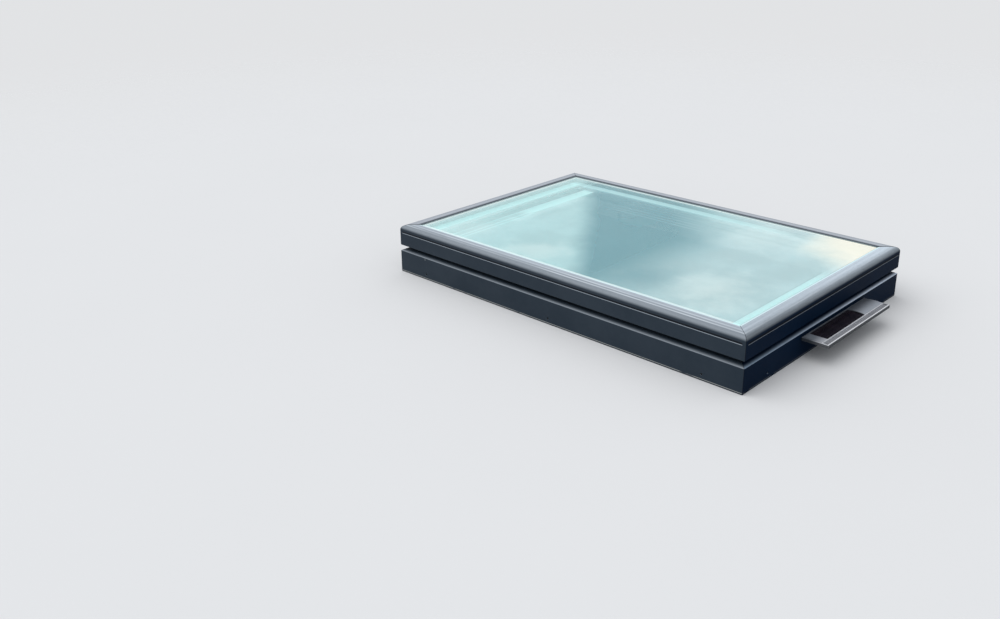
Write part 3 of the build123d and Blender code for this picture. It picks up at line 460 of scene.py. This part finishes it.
def cloudTint(finish, look, haze, wisp, masks):
    # Painted reflection of a pale sky over the glass's tint, with a deep part and darker spots of painted
    # shade, and faint lines of painted reflection
    x, y = finish.axis("X"), finish.axis("Y")
    bright = finish.ease(x, *look["brightRun"])
    puff = finish.ease(wisp + 0.4 * (haze - 0.5), 0.35, 0.70)
    # Painted reflection of the sky, greyer towards the hinge end, with darker puffs
    colour = finish.tint(finish.ease(x, *look["greyerRun"]), look["tintedSkyReflection"], look["greyer"])
    colour = finish.tint(puff * 0.10, colour, (0, 0, 0))
    # Painted highlight over the lit ledges at the lifting end
    colour = finish.tint(bright * 0.7, colour, look["bright"])

    # The deep part is painted shade seen through the glass; it starts at a slanted soft edge and ends
    # farther to the left along the far side
    turnX, turnY = look["deepTurn"]
    middleX, middleY = look["deepMiddle"]
    reach = (x - middleX) * turnX + (y - middleY) * turnY
    bend = 0.18 * finish.ease(y, *look["deepBend"])
    deep = finish.ease(reach + 0.06 * (haze - 0.5), *look["deepStart"])
    deep = deep * finish.ease(x + bend + 0.10 * (wisp - 0.5), *look["deepEnd"])
    edge = finish.ease(y, *look["deepEdgeRun"])
    colour = finish.tint(deep * 0.85, colour, finish.tint(edge, look["deep"], look["deepEdge"]))

    # Faint pale lines of painted reflection, then darker spots of painted shade
    fadeIn, fullOn, fading, fadeOut = look["reflectedLineRun"]
    run = finish.ease(x, fadeIn, fullOn) * finish.ease(x, fadeOut, fading)
    reflectedLines = finish.lines(y + 0.004 * (haze - 0.5), look["reflectedLines"], look["reflectedLineWidth"])
    colour = finish.tint(reflectedLines * run * 0.50, colour, look["reflectedLineTone"])
    for spotX, spotY, size, share in look["shades"]:
        away = finish.away((spotX, spotY), look["squeeze"])
        spot = finish.ease(away + 1.2 * size * (wisp - 0.5), size, 0.0) * share
        colour = finish.tint(spot, colour, look["deep"])
        deep = spot + deep
    masks.update(bright=bright, deep=deep)
    return colour


def ledgeTint(finish, look, colour, masks):
    # Painted highlights where the lit ledges and operator show through the glass, with crisp edges, and
    # painted shade beside them
    x, y = finish.axis("X"), finish.axis("Y")
    endStart = look["endBand"][0]
    farBand = finish.band(y, *look["farBand"], 0.004) * finish.ease(x, *look["farBandRun"])
    farBand = farBand * finish.ease(x, endStart - 0.003, endStart + 0.003)
    endBand = finish.band(x, *look["endBand"]) * finish.ease(y, *reversed(look["farBand"]))
    runStart, runFull, runEnd = look["operatorRun"]
    operator = finish.band(x, *look["operatorBand"]) * finish.ease(y, runStart, runFull)
    bands = endBand + operator * finish.ease(y, runEnd + 0.02, runEnd)
    lines = finish.lines(x, look["operatorLines"], *look["lineWidths"])
    lines = lines * finish.ease(y, runFull, runStart)
    lines = lines + 0.5 * finish.lines(x, [look["endLine"]], *look["lineWidths"])
    shade = finish.ease(y, *look["endShadeRun"], *look["endShadeShares"])
    shade = shade * finish.band(x, *look["endShade"])
    colour = finish.tint(shade, colour, look["endShadeTone"])
    colour = finish.tint(farBand * 0.62, colour, look["farBandTone"])
    colour = finish.tint((bands + 0.9 * lines) * 0.85, colour, look["stripTone"])

    litX, litY = look["litEdge"]
    lit = finish.ease(x, -litX + 0.003, -litX - 0.001)
    lit = lit.orMore(finish.ease(abs(y), litY - 0.003, litY + 0.001))
    colour = finish.tint(lit * 0.8, colour, look["litTone"])

    shown = finish.ease(y, *look["stripFade"])
    strip = finish.ease(x - look["strip"], 0.0, 0.002) * shown
    rim = finish.lines(x - look["strip"], [-0.0012], *look["rimWidths"]) * shown
    colour = finish.tint(rim * 0.10, colour, (0, 0, 0))
    colour = finish.tint(strip * 0.85, colour, look["stripTone"])
    masks.update(farBand=farBand, bands=bands, lines=lines, lit=lit, strip=strip)
    return colour


def glazeOuter(look):
    finish = Finish("outerGlass")
    haze = finish.noise(3.1, 5.0, 0.6)
    wisp = finish.noise(6.5, 4.0, 0.55)
    masks = {}
    colour = ledgeTint(finish, look, cloudTint(finish, look, haze, wisp, masks), masks)
    # Pale spots of painted reflection, and a painted glare towards one corner
    pale = 0.0
    for spotX, spotY, size, tone, share in look["spots"]:
        away = finish.away((spotX, spotY), look["squeeze"])
        spot = finish.ease(away + 2.0 * size * (wisp - 0.5), size, 0.0) * share
        colour = finish.tint(spot, colour, tone)
        pale = spot + pale
    away = finish.away(look["glareCorner"], look["squeeze"])
    glare = finish.ease(away + 0.12 * (wisp - 0.5), *look["glareReach"])
    colour = finish.tint(glare, colour, look["glare"])
    masks.update(pale=pale, glare=glare)

    flat = finish.node("LayerWeight", sockets={"Blend": 0.5}, output="Facing")
    added = sum(look["covers"][key] * mask for key, mask in masks.items())
    slope = finish.ease(flat, 0.0, 0.85)
    smear = finish.noise(40.0, 3.0, 0.6, finish.stretched((0.3, 1.0, 1.0)))
    shader = finish.principled(
        Base_Color=colour,
        Roughness=0.03 + 0.05 * smear,
        Alpha=slope * (look["outerFlat"] - look["outerClear"] + added) + look["outerClear"],
        IOR=1.5,
    )
    return finish.done(shader)


def glazeInner(look):
    finish = Finish("innerGlass")
    flat = finish.node("LayerWeight", sockets={"Blend": 0.5}, output="Facing")
    haze = finish.noise(5.0, 4.0, 0.6)
    cover = finish.ease(flat, 0.0, 0.85, look["innerClear"], look["innerFlat"])
    shader = finish.principled(
        Base_Color=finish.tint(haze, [part * 0.9 for part in look["innerTint"]], look["innerTint"]),
        Roughness=0.03 + 0.03 * haze,
        Alpha=cover,
        IOR=1.5,
    )
    return finish.done(shader)


# Painted wood, with the grain along the rail

railPaint = {"paint": (0.88, 0.88, 0.87), "shade": (0.81, 0.80, 0.78), "roughness": 0.42}


def paintRails(settings, name, along):
    finish = Finish(name)
    lengthwise = finish.stretched((0.05, 1.0, 1.0) if along == "X" else (1.0, 0.05, 1.0))
    grain = finish.noise(420.0, 4.0, 0.6, lengthwise)
    broad = finish.noise(5.0, 3.0)
    knots = finish.noise(60.0, 2.0, 0.5, lengthwise)
    mask = finish.ease(0.6 * broad + 0.4 * knots, 0.42, 0.68)
    colour = finish.tint(mask, settings["paint"], settings["shade"])
    shader = finish.principled(
        Base_Color=colour,
        Roughness=settings["roughness"] + 0.15 * (grain - 0.5),
        Normal=finish.bump(grain, 0.15, 0.0003),
    )
    return finish.done(shader)


# Zinc, with the flakes that it sets in

zincLook = {"light": (0.56, 0.57, 0.58), "dark": (0.36, 0.37, 0.39), "roughness": 0.48}


def coatZinc(settings):
    finish = Finish("galvanisedSteel")
    cellPick = finish.cells(160.0, output="Color")
    flake = finish.node("SeparateColor", sockets={"Color": cellPick}, output=0)
    fine = finish.noise(300.0, 3.0)
    colour = finish.tint(0.7 * flake + 0.3 * fine, settings["dark"], settings["light"])
    shader = finish.principled(
        Base_Color=colour,
        Roughness=settings["roughness"] + 0.14 * (flake - 0.5),
        Metallic=0.85,
        Normal=finish.bump(fine, 0.08, 0.0002),
    )
    return finish.done(shader)


# Rubber, with a grey bloom on what faces up; on the glazing gasket that pale top is a painted highlight

def mouldRubber(name, base, bloomAndHighlight, roughness, pores=0.0):
    finish = Finish(name)
    up = finish.facing("Z")
    fine = finish.noise(700.0, 3.0)
    broad = finish.noise(24.0, 3.0)
    mask = finish.ease(up + 0.5 * (broad - 0.5), 0.3, 1.1) * 0.8
    colour = finish.tint(mask, base, bloomAndHighlight)
    relief = finish.bump(fine, 0.10, 0.0002)
    if pores:
        cell = finish.cells(pores)
        colour = finish.tint(finish.ease(cell, 0.42, 0.20), colour, [part * 0.45 for part in base])
        relief = finish.bump(cell, 0.5, 0.0006, relief)
    shader = finish.principled(Base_Color=colour, Roughness=roughness + 0.14 * (fine - 0.5), Normal=relief)
    return finish.done(shader)


# Moulded plastics and painted sheet, with a fine texture

def mould(name, base, second, roughness, texture=900.0, relief=0.10, metallic=0.0):
    finish = Finish(name)
    fine = finish.noise(texture, 2.0, 0.5)
    broad = finish.noise(18.0, 4.0, 0.6)
    colour = finish.tint(finish.ease(0.65 * broad + 0.35 * fine, 0.38, 0.64), base, second)
    shader = finish.principled(
        Base_Color=colour,
        Roughness=roughness + 0.12 * (fine - 0.5) + 0.10 * (broad - 0.5),
        Metallic=metallic,
        Normal=finish.bump(fine, relief, 0.0003),
    )
    return finish.done(shader)


# Insect mesh: threads both ways, open between them

weaveLook = {
    "thread": (0.26, 0.27, 0.28),
    "highlight": (0.42, 0.43, 0.44),
    "pitch": 0.0014,
    "share": 0.30,          # of the pitch that is thread
}


def weaveScreen(settings):
    finish = Finish("screenWeave")
    lineX = abs((finish.axis("X") / settings["pitch"]) % 1.0 - 0.5) * 2
    lineY = abs((finish.axis("Y") / settings["pitch"]) % 1.0 - 0.5) * 2
    edge = 1 - settings["share"]
    threadX = finish.ease(lineX, edge - 0.06, edge + 0.06)
    threadY = finish.ease(lineY, edge - 0.06, edge + 0.06)
    cover = threadX.orMore(threadY)
    crossing = threadX * threadY
    broad = finish.noise(7.0, 3.0)
    colour = finish.tint(0.6 * crossing + 0.4 * broad, settings["thread"], settings["highlight"])
    shader = finish.principled(Base_Color=colour, Roughness=0.55 + 0.1 * broad, Alpha=cover)
    return finish.done(shader)


# Extruded aluminium of the solar tray, drawn lengthwise and a little dusty, with painted highlights on the
# rib and lip and painted shade on its outward face and underneath

trayMetal = {
    "metal": (0.085, 0.098, 0.120),
    "drawn": (0.145, 0.163, 0.190),
    "bright": (0.86, 0.88, 0.92),           # painted highlight on the inner rib and on the lip
    # Grime in patches, and painted shade on what faces down
    "grimeAndShade": (0.045, 0.052, 0.062),
    "worn": (0.52, 0.53, 0.58),             # between the rib and the lip
    # Painted shade on the outward faces
    "front": (0.012, 0.016, 0.022),
    "ribBand": (0.7118, 0.7142),            # x of the inner rib
    "lipBand": (0.7284, 0.7300),            # x where the lip starts
    "coverReflectionBack": (0.085, 0.095, 0.115),      # painted reflection on the arched cover, dark by the frame
    "coverReflectionFront": (0.32, 0.35, 0.40),
    "coverReflectionRun": (0.668, 0.712),
    "cap": (0.090, 0.105, 0.130),
    "capWorn": (0.125, 0.143, 0.170),
    "capRun": (0.676, 0.722),               # x over which a painted highlight on the end plates grows
    "capSeam": -0.157,                      # y of the joint in the left end
    "capLit": (0.0186, 0.0174),             # height of the lit edge on the end plates
}


def drawTray(settings):
    finish = Finish("trayAluminium")
    up = finish.facing("Z")
    x = finish.axis("X")
    lengthwise = finish.stretched((1.0, 0.03, 1.0))
    drawn = finish.noise(520.0, 3.0, 0.6, lengthwise)
    broad = finish.noise(20.0, 4.0, 0.6)
    colour = finish.tint(finish.ease(drawn, 0.35, 0.7), settings["metal"], settings["drawn"])
    low, high = settings["ribBand"]
    rib = finish.ease(x, low - 0.0004, low) * finish.ease(x, high + 0.0004, high)
    lip = finish.ease(x, *settings["lipBand"])
    facing = finish.ease(up, 0.3, 0.7)
    colour = finish.tint(finish.ease(x, high, high + 0.001) * facing * 0.85, colour, settings["worn"])
    colour = finish.tint(finish.ease(broad, 0.55, 0.75) * 0.5, colour, settings["grimeAndShade"])
    # Painted highlight on the rib and the lip
    colour = finish.tint((rib + lip * facing) * 0.85, colour, settings["bright"])
    # Painted shade on the outward face below the lip, and on what faces down
    outward = finish.ease(finish.facing("X"), 0.4, 0.8) * finish.ease(x, high + 0.004, high + 0.005)
    colour = finish.tint(outward * 0.9, colour, settings["front"])
    colour = finish.tint(finish.ease(up, -0.2, -0.7) * 0.8, colour, settings["grimeAndShade"])
    shader = finish.principled(
        Base_Color=colour,
        Roughness=0.38 + 0.18 * drawn,
        Metallic=0.35,
        Specular_IOR_Level=0.3,
        Normal=finish.bump(drawn, 0.08, 0.0002),
    )
    return finish.done(shader)


def paintCoverReflection(settings):
    # Arched cover, with a painted reflection that grows paler towards its front
    finish = Finish("trayCoverSheet")
    up = finish.facing("Z")
    lengthwise = finish.stretched((1.0, 0.12, 1.0))
    drawn = finish.noise(300.0, 3.0, 0.6, lengthwise)
    blotch = finish.noise(60.0, 4.0, 0.65)
    run = finish.ease(finish.axis("X") + 0.016 * (blotch - 0.5), *settings["coverReflectionRun"])
    colour = finish.tint(run, settings["coverReflectionBack"], settings["coverReflectionFront"])
    colour = finish.tint(finish.ease(blotch + 0.3 * drawn, 0.72, 0.86) * 0.35, colour, settings["drawn"])
    colour = finish.tint(finish.ease(up, 0.5, 0.1), colour, settings["metal"])
    shader = finish.principled(
        Base_Color=colour,
        Roughness=0.44 + 0.16 * drawn,
        Metallic=0.2,
        Normal=finish.bump(drawn, 0.06, 0.0002),
    )
    return finish.done(shader)


def mouldCap(settings):
    # Ends of the tray: a painted highlight that grows towards the lip and along the plate's edge, and
    # painted shade on their outer face but for a lit edge along the top
    finish = Finish("trayCapSheet")
    forward = finish.ease(finish.axis("X"), *settings["capRun"])
    upright = finish.ease(finish.facing("Z"), 0.6, 0.2)
    fine = finish.noise(800.0, 2.0)
    broad = finish.noise(30.0, 4.0, 0.6)
    colour = finish.tint(finish.ease(broad + 0.3 * fine, 0.45, 0.85), settings["cap"], settings["capWorn"])
    # Painted highlight, growing towards the lip
    colour = finish.tint(forward * 0.75, colour, settings["worn"])
    seam = finish.lines(finish.axis("Y") - settings["capSeam"], [0.0010], 0.0016, 0.0006)
    colour = finish.tint(seam * 0.7, colour, settings["front"])
    # Painted highlight along the plate's edge
    edge = finish.ease(finish.axis("Y"), settings["capSeam"], settings["capSeam"] - 0.0004)
    colour = finish.tint(edge * forward * 0.8, colour, settings["bright"])
    # Painted shade on the outer face, below its lit top edge
    low = finish.ease(finish.axis("Z"), *settings["capLit"])
    colour = finish.tint(upright * low * 0.9, colour, settings["front"])
    shader = finish.principled(
        Base_Color=colour,
        Roughness=0.46 + 0.12 * broad,
        Normal=finish.bump(fine, 0.1, 0.0002),
    )
    return finish.done(shader)


# Solar cells: dark strips with hair-thin gaps and busbars

cellLook = {
    "cell": (0.0075, 0.0065, 0.0105),
    "sheen": (0.013, 0.010, 0.015),
    "gap": (0.003, 0.003, 0.004),
    "bar": (0.032, 0.030, 0.036),
    "pitch": 0.037,
    "barPitch": 0.0174,
    "start": -0.122,
    "edge": 0.6594,
}


def laySolarCells(settings):
    finish = Finish("solarCells")
    x, y = finish.axis("X"), finish.axis("Y")
    across = abs(((y - settings["start"]) / settings["pitch"]) % 1.0 - 0.5) * 2
    gap = finish.ease(across, 0.955, 0.985)
    bars = abs(((x - settings["edge"]) / settings["barPitch"]) % 1.0 - 0.5) * 2
    bar = finish.ease(bars, 0.06, 0.03)
    broad = finish.noise(40.0, 3.0)
    colour = finish.tint(finish.ease(broad, 0.3, 0.7), settings["cell"], settings["sheen"])
    colour = finish.tint(bar * 0.8, colour, settings["bar"])
    colour = finish.tint(gap, colour, settings["gap"])
    dust = finish.noise(300.0, 2.0)
    shader = finish.principled(
        Base_Color=colour,
        Roughness=0.16 + 0.12 * dust,
        Specular_IOR_Level=0.16,
    )
    return finish.done(shader)


# Circuit board: solder mask over copper tracks

boardLook = {"mask": (0.02, 0.14, 0.06), "track": (0.05, 0.26, 0.11), "pad": (0.62, 0.55, 0.36)}


def printBoard(settings):
    finish = Finish("circuitBoard")
    tracks = finish.cells(240.0, feature="DISTANCE_TO_EDGE")
    pads = finish.cells(130.0)
    colour = finish.tint(finish.ease(tracks, 0.10, 0.05), settings["mask"], settings["track"])
    colour = finish.tint(finish.ease(pads, 0.12, 0.08), colour, settings["pad"])
    shader = finish.principled(
        Base_Color=colour,
        Roughness=0.32 + 0.2 * finish.noise(400.0),
        Normal=finish.bump(tracks, 0.2, 0.0003),
    )
    return finish.done(shader)


materials = {
    "anthracite_metal": mould("anthraciteSheet", (0.020, 0.031, 0.046), (0.027, 0.039, 0.055), 0.46),
    "galvanised_steel": coatZinc(zincLook),
    "black_rubber": mouldRubber("blackRubber", (0.018, 0.019, 0.021), (0.055, 0.057, 0.060), 0.62),
    "grey_rubber": mouldRubber("greyRubber", (0.16, 0.16, 0.165), (0.24, 0.24, 0.245), 0.66),
    "foam_gasket": mouldRubber("foamGasket", (0.045, 0.045, 0.047), (0.08, 0.08, 0.082), 0.85, 900.0),
    "spacer_steel": mould("spacerSteel", (0.62, 0.64, 0.65), (0.72, 0.74, 0.75), 0.36, 300.0, 0.06, 0.25),
    "nylon_block": mould("nylonBlock", (0.20, 0.20, 0.21), (0.25, 0.25, 0.26), 0.5),
    "white_screen_metal": mould("screenPaint", (0.80, 0.80, 0.78), (0.74, 0.74, 0.72), 0.38, 500.0, 0.06),
    "screen_mesh": weaveScreen(weaveLook),
    "white_cover": mould("whiteCover", (0.86, 0.87, 0.86), (0.81, 0.82, 0.81), 0.42, 1100.0, 0.16),
    "drive_housing": mould("driveHousing", (0.045, 0.046, 0.05), (0.075, 0.076, 0.08), 0.5, 1000.0, 0.2),
    "chain_steel": mould("chainSteel", (0.34, 0.34, 0.36), (0.48, 0.48, 0.50), 0.32, 500.0, 0.08, 1.0),
    "chain_guide": mould("guidePlastic", (0.09, 0.09, 0.10), (0.13, 0.13, 0.14), 0.45),
    "battery_case": mould("batteryHousing", (0.12, 0.14, 0.17), (0.17, 0.19, 0.22), 0.42, 600.0),
    "circuit_board": printBoard(boardLook),
    "tray_aluminium": drawTray(trayMetal),
    "solar_cells": laySolarCells(cellLook),
}
ownFinishes = {
    "outer_pane": glazeOuter(glassLook),
    "inner_pane": glazeInner(glassLook),
    "solar_cover": paintCoverReflection(trayMetal),
    "solar_end_caps": mouldCap(trayMetal),
    # Its pale top is a painted highlight, where the gasket catches light
    "glazing_gasket": mouldRubber("glazingGasket", (0.10, 0.13, 0.14), (0.50, 0.64, 0.68), 0.6),
}
for part in ("frame", "sash"):
    for side, along in (("near", "X"), ("far", "X"), ("lifting_end", "Y"), ("hinge_end", "Y")):
        across = "Y" if along == "X" else "X"
        label = "".join(word.capitalize() for word in side.split("_"))
        sheetName, woodName = f"{part}_cladding_{side}", f"{part}_rail_{side}"
        look = sideLooks[side]
        ownFinishes[sheetName] = paintCladding(claddingPaint, look, part + label + "Sheet", across)
        ownFinishes[woodName] = paintRails(railPaint, part + label + "Paint", along)

slotOf = {part["node"]: part["material_slot"] for part in frame["record"]["subparts"]}
for nodeName, part in nodes.items():
    part.data.materials.clear()
    part.data.materials.append(ownFinishes.get(nodeName) or materials[slotOf[nodeName]])
print("materials made:", len(materials) + len(ownFinishes))


# Chain: it is drawn at its full reach, then packed down to its height at rest, so that stretched out as
# the sash opens it would be true

chainLook = {
    "across": -0.5255,        # x of the chain's middle
    "sprocketHeight": 0.041,  # where the upright part starts
    "endHeight": 0.071,       # the pin in the sash bracket, at rest
    "hingeReach": 1.164,      # from the hinge axis to the chain
    "opening": 9.5,           # degrees
    "uprightLinks": 22,
    "storedLinks": 21,
    "pitch": 0.010,
    "turn": ((0.00383, 0.03176), (0.013066, 0.02793)),  # the two pins on the sprocket
    "plateRadius": 0.0034,
    "plateThickness": 0.0012,
    "waist": ((0.0032, 0.84), (0.0050, 0.76), (0.0068, 0.84)),  # place along it, and height there
    "innerFace": 0.0030,
    "outerFace": 0.00435,
    "rollerRadius": 0.0030,
    "pinRadius": 0.0015,
    "pinHalf": 0.00615,
    "pinBevel": 0.0003,
    "pinSides": 12,
    "sides": 16,
    "smoothAngle": 40,        # degrees
}


def clearSelection():
    if bpy.context.mode != "OBJECT":
        bpy.ops.object.mode_set(mode="OBJECT")
    bpy.ops.object.select_all(action="DESELECT")


def choose(piece, test):
    # Edit mode, with only the vertices picked that pass the test
    bpy.context.view_layer.objects.active = piece
    bpy.ops.object.mode_set(mode="EDIT")
    bpy.ops.mesh.select_mode(type="VERT")
    bpy.ops.mesh.select_all(action="DESELECT")
    shape = bmesh.from_edit_mesh(piece.data)
    for vert in shape.verts:
        vert.select_set(test(vert.co))
    shape.select_flush(True)
    bmesh.update_edit_mesh(piece.data)


def roundBar(radius, start, end, sides):
    # A bar along X
    clearSelection()
    middle = (start + end) / 2
    bpy.ops.mesh.primitive_cylinder_add(
        vertices=sides, radius=radius, depth=end - start,
        location=(middle, 0, 0), rotation=(0, math.pi / 2, 0),
    )
    bar = bpy.context.object
    bpy.ops.object.transform_apply(location=True, rotation=True)
    return bar


def join(pieces, name):
    clearSelection()
    for piece in pieces:
        piece.select_set(True)
    bpy.context.view_layer.objects.active = pieces[0]
    bpy.ops.object.join()
    whole = bpy.context.object
    whole.name = name
    return whole


def linkPlate(look, face):
    # A round plate drawn out to the next pin, then pinched in the middle
    plate = roundBar(look["plateRadius"], face, face + look["plateThickness"], look["sides"])
    choose(plate, lambda spot: spot.y > 1e-6)
    bpy.ops.transform.translate(value=(0, look["pitch"], 0))
    for along, share in look["waist"]:
        bpy.ops.mesh.select_all(action="SELECT")
        bpy.ops.mesh.bisect(plane_co=(0, along, 0), plane_no=(0, 1, 0))
        choose(plate, lambda spot: abs(spot.y - along) < 1e-5)
        bpy.ops.transform.resize(value=(1, 1, share), center_override=(0, along, 0))
    bpy.ops.object.mode_set(mode="OBJECT")
    return plate


def chainLink(look, face, name):
    left = linkPlate(look, -face - look["plateThickness"])
    right = linkPlate(look, face)
    return join([left, right], name)


def chainPin(look):
    pin = roundBar(look["pinRadius"], -look["pinHalf"], look["pinHalf"], look["pinSides"])
    choose(pin, lambda spot: True)
    bpy.ops.mesh.bevel(offset=look["pinBevel"], segments=1, affect="EDGES")
    bpy.ops.object.mode_set(mode="OBJECT")
    roller = roundBar(look["rollerRadius"], -look["innerFace"], look["innerFace"], look["sides"])
    return join([pin, roller], "chainPin")


def placed(model, name, place, angle=0.0):
    copy = model.copy()
    copy.data = model.data.copy()
    copy.name = name
    bpy.context.collection.objects.link(copy)
    copy.data.transform(Matrix.Translation(place) @ Matrix.Rotation(angle, 4, "X"))
    return copy


def packedHeight(reach, look):
    # Height at rest of a point that is this far up the chain when the sash is open
    rest = look["endHeight"] - look["sprocketHeight"]
    swing = look["hingeReach"] * math.radians(look["opening"])
    full = rest + swing
    if reach <= 0 or reach >= full:
        return look["sprocketHeight"] + (reach if reach <= 0 else rest + reach - full)
    low, high = 0.0, 1.0
    for _ in range(40):
        share = (low + high) / 2
        if rest * share + swing * share * share * (3 - 2 * share) < reach:
            low = share
        else:
            high = share
    return look["sprocketHeight"] + rest * share


def makeChain(look):
    outer = chainLink(look, look["outerFace"], "outerLink")
    inner = chainLink(look, look["innerFace"], "innerLink")
    pin = chainPin(look)
    rest = look["endHeight"] - look["sprocketHeight"]
    full = rest + look["hingeReach"] * math.radians(look["opening"])
    step = full / look["uprightLinks"]
    top = look["sprocketHeight"] + full
    spots = [(0.0, top - step * count) for count in range(look["uprightLinks"] + 1)]
    spots += look["turn"]
    along, height = spots[-1]       # and the stored links lie level
    spots += [(along + look["pitch"] * (count + 1), height) for count in range(look["storedLinks"])]
    parts = []
    for count, (spot, following) in enumerate(zip(spots, spots[1:])):
        angle = math.atan2(following[1] - spot[1], following[0] - spot[0])
        place = (look["across"], *spot)
        parts.append(placed(outer if count % 2 == 0 else inner, "link", place, angle))
    for spot in spots[1:]:
        parts.append(placed(pin, "pin", (look["across"], *spot)))
    for model in (outer, inner, pin):
        bpy.data.objects.remove(model)
    chain = join(parts, "driveChain")

    # Only the upright part is packed down
    for vert in chain.data.vertices:
        if abs(vert.co.y) < look["plateRadius"] * 1.01 and vert.co.z > look["sprocketHeight"]:
            vert.co.z = packedHeight(vert.co.z - look["sprocketHeight"], look)
    clearSelection()
    chain.select_set(True)
    bpy.ops.object.shade_smooth_by_angle(angle=math.radians(look["smoothAngle"]))
    chain.data.materials.clear()
    chain.data.materials.append(materials["chain_steel"])
    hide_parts("chain")
    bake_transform(chain)


makeChain(chainLook)
print("chain made")


# Floor, lights and the air round the object

studio = {
    "floorSize": 24.0,
    "floor": (0.74, 0.745, 0.76),
    "fadeStart": 2.2,       # the floor melts into the air between these distances
    "fadeEnd": 6.5,
    "air": (0.76, 0.77, 0.785),
    "skyLight": 0.68,
    "skyColour": (0.95, 0.975, 1.0),
}


def layFloor(settings):
    clearSelection()
    bpy.ops.mesh.primitive_plane_add(size=settings["floorSize"], location=(0, 0, cadBounds[0][2]))
    floor = bpy.context.object
    floor.name = "studioFloor"
    bpy.ops.object.transform_apply(location=True)
    finish = Finish("floorPaint")
    cloud = finish.noise(1.2, 3.0)
    colour = finish.tint(cloud, settings["floor"], [part * 0.98 for part in settings["floor"]])
    seen = finish.ease(finish.away((0, 0)), settings["fadeEnd"], settings["fadeStart"])
    shader = finish.principled(Base_Color=colour, Roughness=0.8, Specular_IOR_Level=0.1, Alpha=seen)
    floor.data.materials.append(finish.done(shader))


def fillAir(settings):
    # Rays that light the object meet one tone, and those that see the background another
    air = Finish("studioAir", "world")
    sights = ("Is Camera Ray", "Is Glossy Ray", "Is Transmission Ray")
    seen = sum(air.node("LightPath", output=sight) for sight in sights)
    sky = {"Color": settings["skyColour"], "Strength": settings["skyLight"]}
    lit = air.node("Background", sockets=sky)
    shown = air.node("Background", sockets={"Color": settings["air"]})
    scene.world = air.done(air.node("MixShader", sockets={0: seen, 1: lit, 2: shown}))


softSun = {
    "from": (-0.30, -0.38, 0.87),
    "strength": 1.48,
    "spread": 70.0,         # degrees
    "colour": (1.0, 0.995, 0.98),
}


def hangSun(settings):
    bpy.ops.object.light_add(type="SUN", location=(0, 0, 3))
    lamp = bpy.context.object
    lamp.name = "softSun"
    lamp.rotation_euler = Vector(settings["from"]).to_track_quat("Z", "Y").to_euler()
    lamp.data.energy = settings["strength"]
    lamp.data.angle = math.radians(settings["spread"])
    lamp.data.color = settings["colour"]


layFloor(studio)
fillAir(studio)
hangSun(softSun)
print("floor and lights set")
